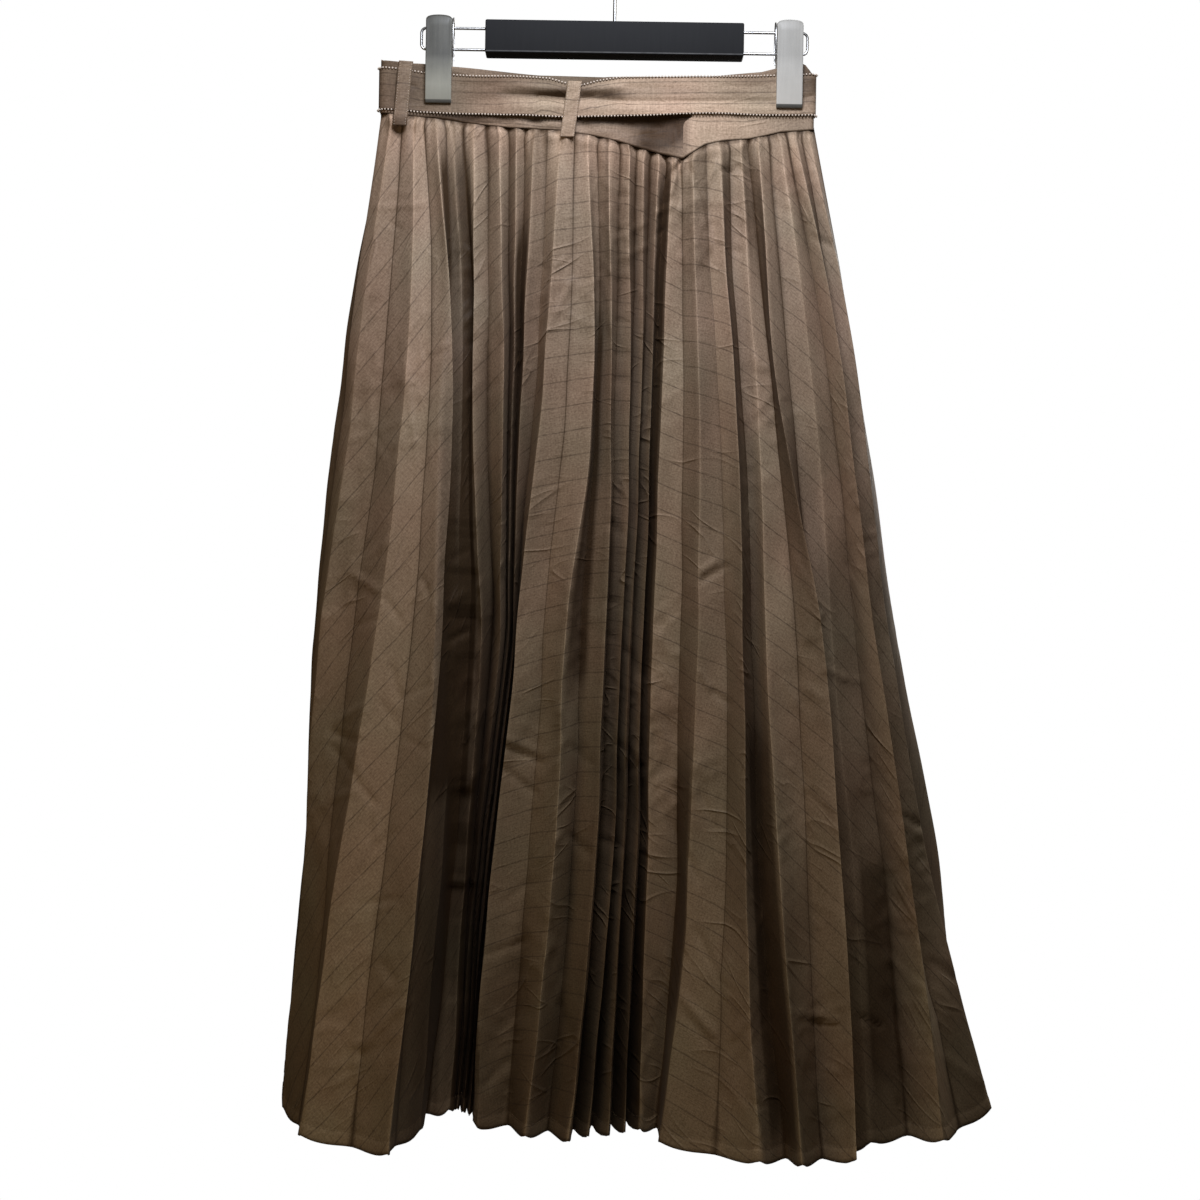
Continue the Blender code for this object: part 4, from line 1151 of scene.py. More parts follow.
# creases of the front as the camera sees them: start x, z, end x, z, half width, and how far it stands out
frontCreases = (
    (-200, -233, -187, -228, 3.2, 1.1), (-186, -231, -149, -227, 2.8, 1.1),
    (-179, -217, -157, -219, 2.4, 0.5), (-179, -241, -168, -248, 3.2, -0.8),
    (-192, -303, -175, -271, 4, 1.2), (-185, -274, -168, -244, 4, -0.8),
    (-161, -330, -149, -312, 3.2, 0.8), (-160, -363, -149, -348, 3.2, 1),
    (-146, -346, -128, -338, 2.4, 1), (-161, -371, -152, -368, 2.4, 0.6),
    (-171, -424, -158, -400, 4, 1.3), (-165, -421, -151, -416, 2.8, 1),
    (-208, -418, -189, -410, 2.8, 0.9), (-188, -411, -176, -428, 3.2, -0.8),
    (-211, -329, -183, -303, 4, -0.6), (-204, -522, -179, -539, 3.2, 1.7),
    (-179, -540, -163, -562, 4, -1), (-201, -518, -175, -496, 4.8, 0.9),
    (-148, -525, -138, -546, 3.6, -1.4), (-141, -538, -131, -566, 4, 0.9),
    (-201, -566, -182, -558, 3.2, -0.8), (-171, -596, -164, -624, 4.8, -0.9),
    (-219, -650, -195, -658, 4.8, -1.6), (-216, -643, -193, -628, 4, 1.3),
    (-219, -660, -197, -686, 4, -1.3), (-165, -624, -138, -610, 3.2, -1),
    (-160, -654, -139, -666, 4, -0.8), (-180, -625, -165, -644, 4.8, -0.8),
    (-223, -704, -200, -698, 3.2, 1.1), (-200, -685, -181, -710, 4, -1.4),
    (-181, -709, -181, -735, 3.2, 1.1), (-185, -735, -215, -794, 6.4, 1.9),
    (-228, -816, -213, -793, 3.2, 1.2), (-190, -788, -161, -783, 4, -1.5),
    (-180, -794, -165, -784, 3.2, 1.1), (-217, -835, -201, -818, 4, -0.8),
    (-157, -866, -191, -902, 7.2, 2.3), (-164, -858, -190, -882, 4.8, -1.2),
    (-230, -886, -216, -876, 3.2, -1.3), (-241, -790, -229, -763, 4, 1),
    (-202, -821, -193, -785, 4, -0.8), (-184, -745, -165, -728, 4.8, -0.9),
    (-177, -833, -162, -852, 4.8, -1), (-238, -925, -230, -897, 4, 0.9),
    (-117, -324, -102, -303, 3.2, 1.5), (-109, -283, -101, -271, 3.2, 1.1),
    (-115, -340, -104, -331, 3.2, -1), (-115, -384, -103, -366, 3.2, 1.4),
    (-98, -377, -88, -366, 3.2, -0.8), (-104, -535, -94, -522, 3.2, 1.4),
    (-102, -559, -92, -552, 2.8, 1.1), (-129, -578, -109, -567, 4, -2.2),
    (-129, -549, -111, -536, 4, 1.2), (-111, -654, -94, -627, 5.6, 1.8),
    (-110, -694, -94, -670, 4.8, 1.1), (-126, -512, -110, -502, 4, -1), (-67, -268, -52, -273, 2.8, 0.8),
    (-45, -276, -36, -268, 3.2, 1.1), (-22, -292, -7, -284, 4, 1.3), (-64, -266, -50, -280, 3.2, -0.6),
    (-82, -659, -50, -672, 4.8, -1.8), (-83, -652, -50, -664, 3.2, 1.2),
    (-84, -675, -53, -698, 4.8, -1.5), (-51, -669, -30, -654, 3.2, 1.2), (-50, -687, -36, -669, 4, 1.7),
    (-54, -711, -46, -690, 3.2, 1.5), (-51, -752, -32, -727, 4, 1.9), (-30, -727, -8, -747, 4.8, -1.7),
    (-28, -658, -8, -675, 4, -1.3), (-97, -829, -56, -813, 4, -1.3), (-92, -932, -72, -909, 5.6, -1.8),
    (-58, -772, -33, -758, 4, -0.9), (-34, -861, -19, -899, 4.8, -1.3), (-77, -834, -64, -783, 4, 0.8),
    (-81, -787, -58, -767, 4, -0.9), (-75, -575, -63, -543, 4, -0.7), (-39, -871, -28, -842, 4, 0.8),
    (-74, -879, -56, -871, 4, -0.8), (3, -219, 16, -217, 6.4, -1), (3, -247, 16, -246, 6.4, -0.9),
    (0, -254, 30, -238, 4, 1.5), (5, -270, 30, -257, 4, 1.5), (3, -288, 17, -286, 6.4, -0.9),
    (3, -319, 16, -318, 6.4, -1.1), (2, -346, 16, -344, 6.4, -0.8), (2, -366, 16, -364, 6.4, -0.8),
    (-4, -288, 1, -329, 2.8, 1.3), (0, -478, 13, -491, 4.8, -1.8), (-1, -542, 13, -545, 4.8, -1.2),
    (-1, -569, 11, -574, 4.8, -1), (17, -580, 30, -605, 4.8, -1.9), (15, -609, 29, -615, 3.2, 1.1),
    (8, -655, 26, -667, 4, -1.6), (18, -651, 30, -671, 4, 1.3), (16, -678, 31, -673, 4, -1.4),
    (8, -750, 25, -742, 4, 1.1), (-4, -732, 16, -739, 4, -1.2), (1, -622, 14, -617, 4, 0.9),
    (34, -232, 50, -225, 3.6, 1.7), (51, -231, 73, -218, 8.8, 2.2), (41, -207, 62, -181, 3.6, -1.5),
    (61, -192, 73, -218, 4, -1.7), (69, -214, 81, -262, 3.6, 1.5), (86, -195, 96, -199, 3.2, -2),
    (99, -192, 112, -207, 4.8, -1.9), (96, -259, 107, -263, 3.2, -1.3), (45, -218, 51, -202, 4, 1.3),
    (35, -250, 45, -242, 4, -1.2), (76, -210, 83, -189, 3.2, 1.1), (140, -220, 156, -233, 4, 1.1),
    (159, -248, 180, -257, 4.8, -1.4), (63, -523, 73, -536, 3.2, 1.3), (74, -518, 89, -508, 3.2, 1.4),
    (74, -526, 99, -511, 3.6, -1.7), (75, -596, 86, -614, 3.2, 1.5), (85, -612, 103, -626, 3.6, -1.7),
    (143, -603, 159, -631, 4, 1.5), (160, -607, 175, -620, 4, 1.4), (176, -593, 193, -602, 3.2, 1.4),
    (191, -601, 207, -604, 3.2, 1), (148, -505, 156, -573, 4, -1.3), (174, -548, 160, -574, 4, 1.4),
    (149, -504, 174, -549, 3.2, 1), (148, -669, 163, -693, 4, 1.5), (165, -694, 184, -716, 4, -1.3),
    (207, -539, 213, -571, 4, -0.9), (191, -507, 206, -531, 4, -0.7), (172, -583, 180, -611, 4, -0.8),
    (108, -598, 118, -612, 3.2, 1.1), (239, -710, 257, -720, 3.6, -2.2),
    (240, -718, 258, -729, 3.2, 1.3), (153, -868, 193, -876, 4, 1.8), (165, -875, 192, -878, 3.2, -1.5),
    (206, -871, 226, -880, 4, -2.1), (207, -889, 233, -932, 5.6, -1.3), (63, -855, 95, -891, 4.8, 2.2),
    (67, -872, 90, -897, 4, -1.5), (76, -804, 98, -850, 4, -1.5), (52, -820, 61, -862, 3.2, 1.6),
    (54, -716, 78, -766, 4.8, -1.5), (52, -780, 68, -831, 4.8, -1.2), (96, -920, 118, -947, 4, 1.5),
    (118, -939, 135, -948, 3.2, -1.3), (262, -825, 287, -843, 4.8, -2.1), (226, -821, 260, -852, 4, 1.5),
    (227, -852, 250, -900, 5.6, -1.9), (224, -915, 258, -972, 4.8, -1.3),
    (272, -900, 310, -926, 5.6, 1.4), (195, -782, 214, -820, 4.8, -1.7), (144, -768, 151, -828, 4, -0.8),
    (168, -779, 187, -789, 4, 0.8), (77, -693, 91, -725, 4, -0.9), (135, -804, 147, -848, 4, -1.2),
    (262, -722, 273, -762, 4, -1), (233, -618, 245, -654, 3.2, 1),
)


def sideCreases(mirror, drop, seed):
    # creases of a hidden side: like those of the front, in other places
    rng = np.random.default_rng(seed)
    made = []
    for x0, z0, x1, z1, width, out in frontCreases[::2]:
        x, z = mirror * x0 + rng.uniform(-24, 24), z0 + drop + rng.uniform(-40, 40)
        if -940 <= z <= -210:
            end = x + mirror * (x1 - x0), z + z1 - z0
            made.append((x, z, *end, width * 1.25, out * rng.uniform(0.7, 1.1)))
    return made


def seenPlace(points):
    # x and z where the camera sees each point, on the plane of the hanger, mm
    middleX, away, middleZ = (value / mm for value in camera["place"])
    nearness = away / (away + points[..., 1])
    return (points[..., 0] - middleX) * nearness + middleX, (points[..., 2] - middleZ) * nearness + middleZ


creaseShape = {
    "depth": 1.25,          # what the depths in the tables are multiplied by
    "least": 3.4,           # least half width that the points can carry
    "past": 0.12,           # how far a crease runs past its two ends, as a share of its length
    "steep": 1.5,           # one flank is steeper, as pressed cloth has it
}


def crease(points, creases, side, seen):
    moved = points.copy()
    x, z = seenPlace(points) if seen else (points[..., 0], points[..., 2])
    for x0, z0, x1, z1, width, out in creases:
        size = math.hypot(x1 - x0, z1 - z0)
        wayX, wayZ = (x1 - x0) / size, (z1 - z0) / size
        share = ((x - x0) * wayX + (z - z0) * wayZ) / size
        fromEnd = np.minimum(share, 1 - share) + creaseShape["past"]
        off = ((z - z0) * wayX - (x - x0) * wayZ) / max(width, creaseShape["least"])
        flank = np.exp(-2.0 * np.where(off > 0, off * creaseShape["steep"], off) ** 2)
        moved[..., 1] += side * out * creaseShape["depth"] * flank * ease(fromEnd * 3.6)
    return moved


def gridNormals(points, side):
    return unit(np.cross(np.gradient(points, axis=1), np.gradient(points, axis=0))) * side


def sunkBelow(points, side):
    # how far each point lies behind the outermost folds near it, mm, read on every sixth row
    sunk = np.zeros(points.shape[:2])
    picked = np.unique(np.append(np.arange(0, len(points), 6), len(points) - 1))
    for r in picked:
        x, depth = points[r, :, 0], points[r, :, 1] * side
        near = np.maximum(0.0, 1 - ((x[:, None] - x[None, :]) / shade["sunkReach"]) ** 2)
        sunk[r] = np.max(depth[None, :] - shade["sunkSlope"] * (1 - near), axis=1) - depth
    for c in range(points.shape[1]):
        sunk[:, c] = np.interp(np.arange(len(points)), picked, sunk[picked, c])
    return sunk


def hemWave(places):
    fromOuter = np.abs(places % 2.0 - 1.0)
    return bell(fromOuter, cloth["hemWaveWidth"]) - cloth["hemSag"] * np.sin(math.pi * (places % 1.0)) ** 2


# painted light and shade on the cloth, where 1 is painted light and -1 is painted deep shade
shade = {
    "all": 0.14,
    "outerFold": 0.5,       # painted light outside pressed folds and painted shade inside
    "innerFold": -0.75,
    "outerReach": 260.0,    # the painted light of a fold fades over this length down the cloth
    "ridge": 0.55,          # near the band each fold gets a broad painted highlight and each valley a painted shade
    "ridgeWidth": 2.6,
    "valley": -0.95,
    "valleyWidth": 2.2,
    "ridgeReach": 170.0,
    "steep": -0.75,         # painted shade on faces turned away from the front
    "sunk": -0.5,           # painted shade for a valley as deep as sunkDepth, mm
    "sunkDepth": 70.0,
    "sunkReach": 48.0,      # folds this far aside still shade it, if they stand this much further out
    "sunkSlope": 60.0,
    "underBand": -0.95,     # painted shade right under the band, and along the edge of the hem
    "hemEdge": -0.9,
    "edgeWidth": 2.0,
    "hem": 0.12,            # the doubled cloth of the hem
    # painted shade in the deep valleys of the front, between two places along the pleats (odd ones are outer
    # folds): from and to, height of their upper and lower end, and how dark they are
    "valleysFront": (
        (5.05, 8.6, -162, -720, -0.8), (13.1, 14.9, -225, -640, -0.75), (19.15, 20.4, -300, -640, -0.6),
        (27.1, 28.9, -185, -620, -0.8), (35.1, 36.1, -185, -310, -0.6), (33.4, 34.9, -620, -990, -0.5),
        (29.9, 30.9, -645, -900, -0.4), (39.1, 40.2, -715, -960, -0.5), (41.1, 42.0, -690, -830, -0.4)),
}


def valleyShade(places, z):
    # painted shade in the deep valleys that valleysFront lists
    tone = np.zeros(z.shape)
    for start, end, top, bottom, amount in shade["valleysFront"]:
        across = ease((places - start) / 0.14) * ease((end - places) / 0.14)
        tone += amount * across * ease((top - z) / 50.0) * ease((z - bottom) / 60.0)
    return tone


def ridgeShade(places, down, chance):
    # painted highlights along the folds and painted shade along the valleys: more on some folds than on
    # others, and less and less down the cloth
    width = faceWidth(down)
    fromOuter = np.abs(places % 2.0 - 1.0) * width
    fromInner = width - fromOuter
    amount = (0.35 + 0.65 * fading(down, shade["ridgeReach"])) * (0.5 + 0.6 * chance)
    amount = amount * (0.75 + 0.25 * np.sin(places * 0.8 + down / 37.0))
    ridge = shade["ridge"] * bell(fromOuter, shade["ridgeWidth"])
    return amount * (ridge + shade["valley"] * bell(fromInner, shade["valleyWidth"]))


def gatherShade(places, down, chance):
    # painted light on the puffs and painted shade in the tucks of the gathers
    reach = 26.0 + 13.0 * chanceOf(np.round(places), 2.0, 31.7)
    between = np.cos(2 * math.pi * places[0] + 0.9 * np.sin(places[0] * 1.3))
    dark = (0.25 + 0.75 * chance) * ease(between * 1.9 - 0.7)
    return bell(down, reach) * (0.7 + 0.3 * np.sin(places[0] * 1.9)) * (0.45 - dark)


def panelTone(points, side, folds, places, level):
    down = level[:, None]
    fromHem = cloth["length"] - down
    chance = 0.5 + 0.5 * chanceOf(np.round(places), 4.1)
    outer = shade["outerFold"] * (0.4 + 0.6 * fading(down, shade["outerReach"]))
    tone = shade["all"] + np.where(folds > 0, outer, 0.0) + np.where(folds < 0, shade["innerFold"], 0.0)
    # each face gets a random amount of painted light and shade of its own
    tone = tone + (0.12 + 0.16 * fading(down, 220.0)) * chanceOf(np.floor(places), 0.6, 2.39)
    tone = tone + ridgeShade(places, down, chance) + gatherShade(places, down, chance)
    # painted shade on faces turned away from the front and in valleys sunk behind the nearby folds
    fromSeam = np.minimum(places, places.max() - places)
    steep = 1.0 - np.clip(gridNormals(points, side)[..., 1] * side, 0.0, 1.0)
    steep = steep * (0.35 + 0.65 * ease((fromSeam - 1.0) / 6.0)) * (1.0 + 0.5 * fading(down, 120.0))
    tone = tone + shade["steep"] * steep + shade["sunk"] * ease(sunkBelow(points, side) / shade["sunkDepth"])
    if side > 0:
        tone = tone + valleyShade(places, points[..., 2])
    tone = tone + shade["underBand"] * bell(down, shade["edgeWidth"])
    tone = tone + shade["hemEdge"] * bell(fromHem, shade["edgeWidth"])
    return np.clip(tone + shade["hem"] * ease(cloth["hem"] + 0.5 - fromHem), -1.0, 1.0)


def turnHem(points, flat, tone, out):
    # the hem's cloth goes round its lower edge and up again inside
    turned = [points[-1 - up] - out[-1 - up] * behind + (0.0, 0.0, drop)
              for up, behind, drop in cloth["hemTurn"]]
    turnedFlat = [flat[-1 - up] for up, _, _ in cloth["hemTurn"]]
    return (np.concatenate([points, turned]), np.concatenate([flat, turnedFlat]),
            np.concatenate([tone, np.repeat(tone[-1:], len(turned), axis=0)]))


def buildPanel(name, readers, side, creases, seed, finish):
    grid, level = pleatedGrid(readers, side)
    points, places, folds = crossFaces(grid, level, side, seed)
    tone = panelTone(points, side, folds, places, level)
    flat = flatCut(places, level)
    points = drift(points, level)
    moved = gather(points, places, level, side)
    if side > 0:
        moved = pressAside(moved, places, level)
    moved = crease(crumple(moved, flat, level, side, seed), creases, side, side > 0)
    # at the side seams the two panels stay together
    firm = ease(np.minimum(places, places.max() - places) / cloth["seamFirm"])[..., None]
    points = points + (moved - points) * firm
    fromHem = cloth["length"] - level[:, None]
    points[..., 2] += cloth["hemLift"] * hemWave(places) * ease(1.0 - fromHem / cloth["hemWaveLength"])
    out = gridNormals(points, side)
    # the doubled cloth of the hem stands out a little below its row of stitches
    stand = cloth["hemStand"] * ease((cloth["hem"] + 0.4 - fromHem) / 1.4)
    points = points + out * (stand - cloth["hemPull"] * bell(fromHem - cloth["hem"], 0.9))[..., None]
    allPoints, allFlat, allTone = turnHem(points, flat, tone, out)
    obj = newMesh(name, allPoints, gridFaces(*allPoints.shape[:2], flip=side > 0), allFlat, 75, allTone)
    obj.data.materials.append(finish)
    stitched = int(np.argmin(np.abs(fromHem - cloth["hem"])))
    return obj, points[stitched] + out[stitched] * 0.12


hanger = {
    "barLength": 206.0,
    "barHeight": 26.4,
    "barDepth": 20.0,
    "barTop": -81.3,
    "barRound": 1.3,
    "railWire": 2.2,
    "railTop": -86.5,
    "railPitch": 17.0,
    "railReach": 155.5,
    "railCorner": 4.0,
    "hookWire": 3.0,
    "hookInner": 17.0,
    "hookJoin": -38.0,      # degrees round the hook where its neck joins, and where its tip is
    "hookTip": 205.0,
    "neckDrop": 21.6,
    "neckStiff": 12.8,
    "neckLead": (-9.0, -7.5),
}


def buildBar(finish):
    half, deep, top = hanger["barLength"] / 2, hanger["barDepth"] / 2, hanger["barTop"]
    low = top - hanger["barHeight"]
    corners = [(x, d, z) for z in (low, top) for d in (-deep, deep) for x in (-half, half)]
    faces = [(0, 1, 3, 2), (4, 6, 7, 5), (0, 4, 5, 1), (2, 3, 7, 6), (0, 2, 6, 4), (1, 5, 7, 3)]
    bar = newMesh("hangerBar", corners, faces)
    outwards(bar)
    bar.data.materials.append(finish)
    return bevelled(bar, hanger["barRound"], 4, 40)


def arcPoints(centreX, centreZ, radius, start, end, steps):
    turns = np.radians(np.linspace(start, end, steps + 1))
    return [(centreX + radius * math.cos(a), 0.0, centreZ + radius * math.sin(a)) for a in turns]


def buildHook(finish):
    radius = hanger["hookInner"] + hanger["hookWire"] / 2
    sweep = arcPoints(0.0, hanger["hookWire"] / 2 - radius, radius, hanger["hookJoin"], hanger["hookTip"], 60)
    startX, _, startZ = sweep[0]
    foot = hanger["barTop"] + waist["gap"]
    neck = startZ - hanger["neckDrop"]
    leadX, leadZ = startX + hanger["neckLead"][0], startZ + hanger["neckLead"][1]
    # the neck bends from the stem into the hook along a Bezier curve
    bend = []
    for t in np.linspace(0.0, 1.0, 17)[1:-1]:
        s = 1 - t
        x = 3 * s * t * t * leadX + t**3 * startX
        z = s**3 * neck + 3 * s * s * t * (neck + hanger["neckStiff"]) + 3 * s * t * t * leadZ + t**3 * startZ
        bend.append((x, 0.0, z))
    stem = [(0.0, 0.0, z) for z in np.linspace(foot, neck, 5)]
    return wire("hangerHook", stem + bend + sweep, hanger["hookWire"], finish, 6)


def buildRail(name, sign, finish):
    radius = hanger["railCorner"]
    high = hanger["railTop"]
    low = high - hanger["railPitch"]
    bend = hanger["railReach"] - radius - hanger["railWire"] / 2
    start = hanger["barLength"] / 2 + waist["gap"]
    upper = [(start, 0.0, high)] + arcPoints(bend, high - radius, radius, 90, 0, 12)
    lower = arcPoints(bend, low + radius, radius, 0, -90, 12) + [(start, 0.0, low)]
    return wire(name, [(sign * x, d, z) for x, d, z in upper + lower], hanger["railWire"], finish)


clip = {
    "at": 140.0,
    "width": 20.8,
    "top": -77.2,
    "bottomFront": -147.5,
    "bottomBack": -146.0,
    "lip": 3.2,
    "grip": 0.9,            # room for the cloth that is bunched in the jaws
    "head": 5.2,
    "arch": 3.0,            # how far the front jaw's head falls to its two corners
    "archHeight": 12.0,
    "belly": 0.35,          # how far the outer side swells in its middle
    "stepZ": -113.5,
    "round": 0.7,
    "sliderDepth": 2.4,
    "spring": 1.1,
    # half of the spring's path, depth and height
    "springPath": (
        (5.0, -111.0), (6.2, -103.0), (6.6, -94.0), (6.2, -86.5), (4.6, -81.5), (2.4, -79.0), (0.0, -78.4)),
}


def buildJaw(name, sign, side, bottom, finish):
    # the jaw's outline in depth and height, pushed out across its width; the front one has an arched head
    top = clip["top"]
    lipIn = waist["gap"] + 2 * (waist["wall"] + waist["gap"]) + clip["grip"] - waist["wall"] / 2
    lipOut = lipIn + clip["lip"]
    headIn = clip["sliderDepth"] + waist["gap"]
    headOut = headIn + clip["head"]
    outline = [
        (lipIn, bottom), (lipIn, clip["stepZ"] - 2.5), (headIn, clip["stepZ"]), (headIn, top - 9.0),
        (headIn, top - 2.0), (headIn + 1.0, top), (headOut - 1.5, top), (headOut, top - 2.0),
        (headOut, top - 9.0), (headOut, bottom + 34.0), (lipOut + 0.6, bottom + 3.0), (lipOut - 1.6, bottom)]
    across = np.linspace(-1.0, 1.0, 13)
    verts = []
    for share in across:
        for depth, z in outline:
            high = np.clip((z - top) / clip["archHeight"] + 1.0, 0.0, 1.0)
            drop = clip["arch"] * (0.45 * share**2 + 0.55 * share**8) * high if side > 0 else 0.0
            belly = clip["belly"] * (1 - share * share) if depth > headOut - 0.1 else 0.0
            out = depth + belly - 0.3 * (belly > 0)
            verts.append((sign * clip["at"] + share * clip["width"] / 2, side * out, z - drop))
    n, last = len(outline), len(verts) - 1
    ends = [tuple(range(n)), tuple(range(last, last - n, -1))]
    obj = newMesh(name, verts, ends + gridFaces(len(across), n, ring=True))
    outwards(obj)
    obj.data.materials.append(finish)
    return bevelled(obj, clip["round"], 3, 50)


def buildSpring(name, sign, finish):
    # the wire that springs the two jaws together, bent over their inner sides
    x = sign * (clip["at"] - clip["width"] / 2 - 0.9)
    half = clip["springPath"]
    path = [(x, d, z) for d, z in half] + [(x, -d, z) for d, z in reversed(half[:-1])]
    return wire(name, path, clip["spring"], finish, 3)


# the camera stands where the photograph was taken from, a little lower than the skirt's middle
camera = {
    "place": (-0.005, -1.6, -0.542),
    "lens": 60.0,
    "sensor": 36.0,
    "roll": 0.85,           # degrees, the hanger hangs a little down to the right
    "farEnd": 30.0,
}


def placeCamera():
    data = bpy.data.cameras.new("camera")
    data.lens = camera["lens"]
    data.sensor_width = camera["sensor"]
    data.clip_end = camera["farEnd"]
    obj = addObject("camera", data)
    turn = Matrix.Rotation(math.pi / 2, 4, "X") @ Matrix.Rotation(math.radians(camera["roll"]), 4, "Z")
    obj.matrix_world = Matrix.Translation(camera["place"]) @ turn
    bpy.context.scene.camera = obj


light = {
    "key": {"place": (0.02, -0.46, 0.2), "aim": (0.0, 0.0, -0.3), "size": 0.26, "power": 3.8, "spread": 160,
            "colour": (0.955, 0.995, 1.09)},
    "fill": {"place": (-0.95, -1.25, -0.6), "aim": (0.0, 0.0, -0.6), "size": 0.9, "power": 2.3, "spread": 180,
             "colour": (1.0, 0.77, 0.45)},
    "back": {"place": (0.95, 1.2, 0.2), "aim": (0.0, 0.0, -0.5), "size": 1.2, "power": 18.0, "spread": 180,
             "colour": (1.0, 0.97, 0.93)},
}

studio = {
    "around": 0.03,         # even light from everywhere
    "aroundColour": (1.0, 0.8, 0.58, 1.0),
    "backdrop": (1.0, 1.0, 1.0, 1.0),
    "floorAt": -1.75,
    "floorRadius": 1.5,
    "floorDark": (0.80, 0.80, 0.79, 1.0),
    "floorPale": (0.84, 0.84, 0.83, 1.0),
}


def placeLight(name, place, aim, size, power, spread, colour):
    data = bpy.data.lights.new(name, "AREA")
    data.shape = "SQUARE"
    data.size = size
    data.energy = power
    data.color = colour
    data.spread = math.radians(spread)
    way = Vector(aim) - Vector(place)
    obj = addObject(name, data)
    obj.matrix_world = Matrix.Translation(place) @ way.to_track_quat("-Z", "Y").to_matrix().to_4x4()


def placeStudio():
    # a white backdrop behind the object, and a dim even light on it
    world = bpy.data.worlds.new("studio")
    bpy.context.scene.world = world
    world.use_nodes = True
    tree = world.node_tree
    even = tree.nodes["Background"]
    even.inputs["Color"].default_value = studio["aroundColour"]
    even.inputs["Strength"].default_value = studio["around"]
    white = addNode(tree, "ShaderNodeBackground", entries={"Color": studio["backdrop"]})
    seen = addNode(tree, "ShaderNodeLightPath")
    mix = addNode(tree, "ShaderNodeMixShader", entries={
        0: seen.outputs["Is Camera Ray"], 1: even.outputs[0], 2: white.outputs[0]})
    tree.links.new(mix.outputs[0], tree.nodes["World Output"].inputs["Surface"])
    bpy.context.scene.view_settings.view_transform = "Standard"
    bpy.ops.mesh.primitive_circle_add(vertices=96, radius=studio["floorRadius"], fill_type="NGON",
                                      location=(0, 0, studio["floorAt"]))
    floor = bpy.context.object
    floor.name = "floor"
    look = Finish("floorPaint", Roughness=0.8)
    speck = look.grain(look.objectPlace(), 30.0)
    look.set("Base Color", look.blend(speck, studio["floorDark"], studio["floorPale"]))
    floor.data.materials.append(look.material)


def dress(obj, node=None):
    if node:
        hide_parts(node)
    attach(obj, "root")


def makeSkirt(finishes, tree):
    angle = pleatAngle()
    inner = cloth["faceTop"] / angle * mm
    outer = inner + cloth["length"] * mm
    panels = (
        ("pleatedFront", [foldReader(row, 1) for row in frontFolds], 1, frontCreases, 1, "skirt_front"),
        ("pleatedBack", backReaders(), -1, sideCreases(-1, 20, 5) + sideCreases(1, -30, 8), 2, "skirt_back"),
    )
    for name, readers, side, creases, seed, node in panels:
        obj, stitched = buildPanel(name, readers, side, creases, seed, finishes["skirt"])
        stitches = edgeRow(name + "Stitches", tree, [stitched], cloth["stitch"], finishes["stitch"])
        dress(obj, node)
        dress(stitches, None)
        turn = 2 * len(readers) * angle
        2 * outer * math.sin(min(turn, math.pi) / 2)
        outer - inner * math.cos(turn / 2)
        turn / 2 * (outer**2 - inner**2)
        print(name, "made,", len(obj.data.polygons), "faces")


def makeWaist(finishes, tree):
    for obj, node, points in buildWaistbands(finishes["band"]):
        dress(obj, node)
    sash, beads, points = buildBelt(finishes, tree)
    dress(sash, "belt")
    dress(beads, None)
    for given in loops["straps"]:
        strap, stitches, strapPoints = buildStrap(finishes, tree, **given)
        dress(strap, given["node"])
        dress(stitches, None)
    print("waistband, belt and loops made")


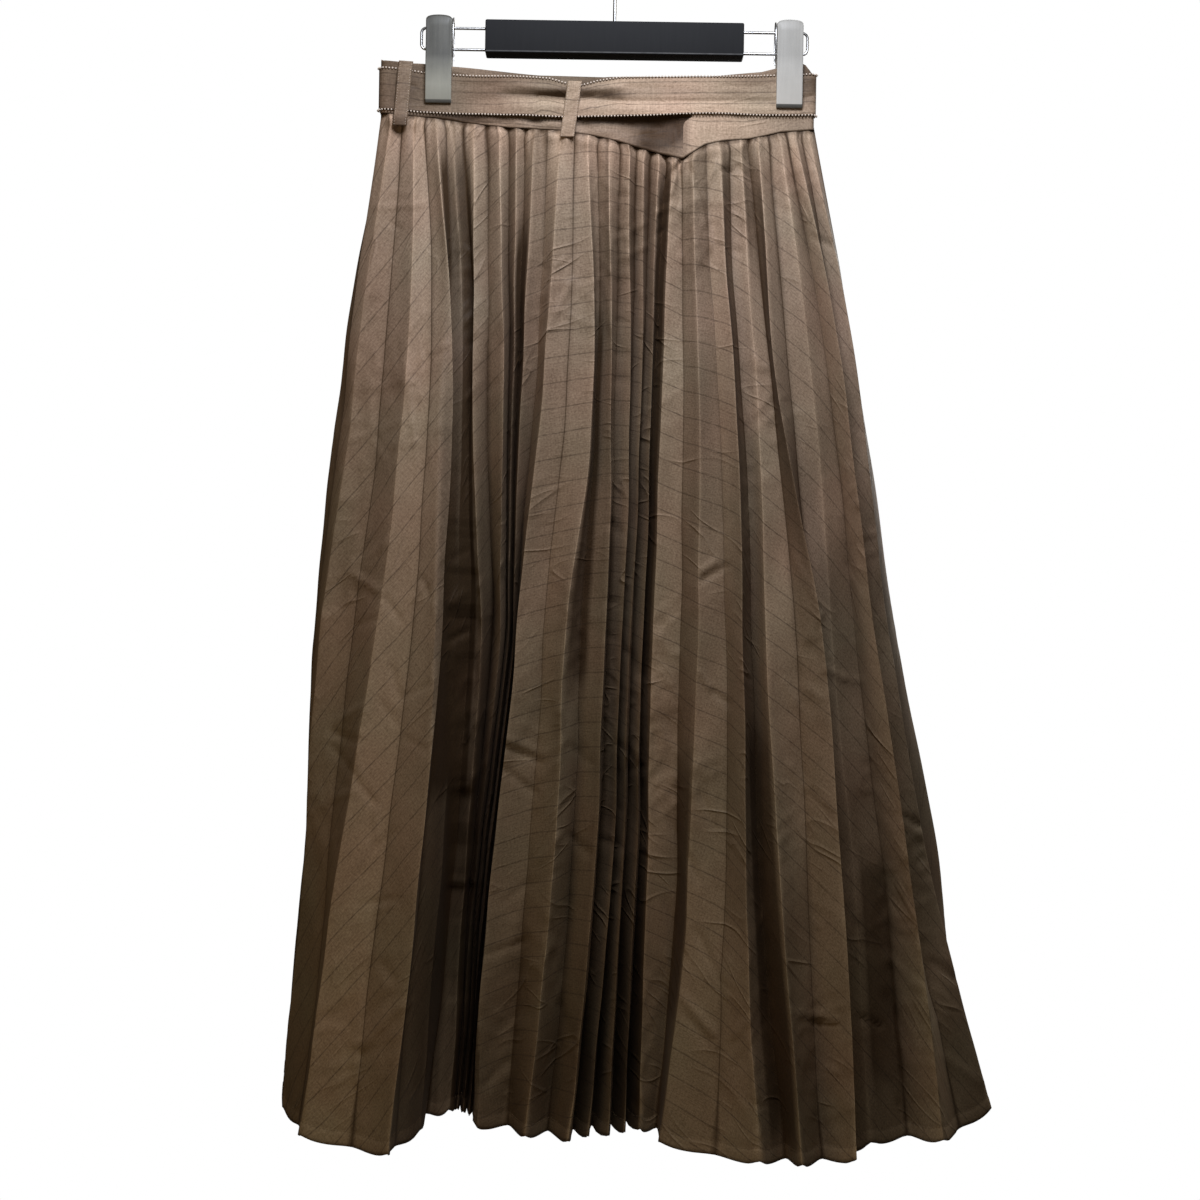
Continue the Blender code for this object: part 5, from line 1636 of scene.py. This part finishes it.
def makeHanger(finishes):
    steel = finishes["steel"]
    dress(buildBar(finishes["bar"]), "hanger_bar")
    dress(buildHook(steel), "hook")
    for hand, sign in (("left", -1), ("right", 1)):
        title = hand.title()
        paint = finishes["clip" + title]
        dress(buildRail("rail" + title, sign, steel), "rail_" + hand)
        for part, side, bottom in (("front", 1, clip["bottomFront"]), ("back", -1, clip["bottomBack"])):
            jaw = buildJaw("jaw" + title + part.title(), sign, side, bottom, paint)
            dress(jaw, "clip_" + hand + "_" + part)
        dress(buildSpring("spring" + title, sign, steel), None)
        slider = bpy.data.objects["clip_" + hand + "_slider"]
        slider.data.materials.clear()
        slider.data.materials.append(paint)
    print("hanger made")


cloths = {
    "skirt": {"name": "skirtCloth"},
    "band": {"name": "bandCloth", "pitch": 21.0, "stripeAt": 15.0, "wrinkles": 0.6},
    "belt": {"name": "beltCloth", "pitch": 9.0, "stripeAt": 4.0, "wrinkles": 0.5},
    "loop": {"name": "loopCloth", "pitch": 60.0, "stripeAt": 20.0, "wrinkles": 0.4},
    "stitch": {"name": "hemThread", "pitch": 60.0, "stripeAt": 20.0, "tint": (0.7, 0.68, 0.66, 1.0)},
}

paints = {
    "bar": {"name": "barPaint", "dark": (0.011, 0.0115, 0.0125, 1.0), "pale": (0.020, 0.0205, 0.0225, 1.0),
            "roughness": 0.72, "gloss": 0.15, "worn": hanger["barTop"] - hanger["barHeight"] + 1.2},
    "steel": {"name": "steelWire", "dark": (0.42, 0.42, 0.42, 1.0), "pale": (0.6, 0.6, 0.59, 1.0),
              "roughness": 0.3, "metallic": 1.0},
    # the clips are one paint, painted darker on the left clip for its shade and paler on the right one for
    # its light
    "clipLeft": {"name": "clipPaintShadedLeft", "dark": (0.045, 0.0445, 0.038, 1.0),
                 "pale": (0.385, 0.379, 0.322, 1.0), "roughness": 0.5,
                 "foot": clip["bottomFront"] + 2.6, "fall": (-109.0, -133.0)},
    "clipRight": {"name": "clipPaintLitRight", "dark": (0.290, 0.282, 0.258, 1.0),
                  "pale": (0.74, 0.715, 0.66, 1.0), "roughness": 0.5,
                  "foot": clip["bottomFront"] + 2.9, "fall": (-106.0, -150.0)},
}


def makeFinishes():
    finishes = {use: clothFinish(**given) for use, given in cloths.items()}
    finishes.update({use: metalFinish(**given) for use, given in paints.items()})
    return {**finishes, "thread": threadFinish()}


def main():
    placeCamera()
    for name, given in light.items():
        placeLight(name, **given)
    placeStudio()
    print("camera, lights and floor placed")
    finishes = makeFinishes()
    tree = edgeRowTree()
    makeSkirt(finishes, tree)
    makeWaist(finishes, tree)
    makeHanger(finishes)


main()
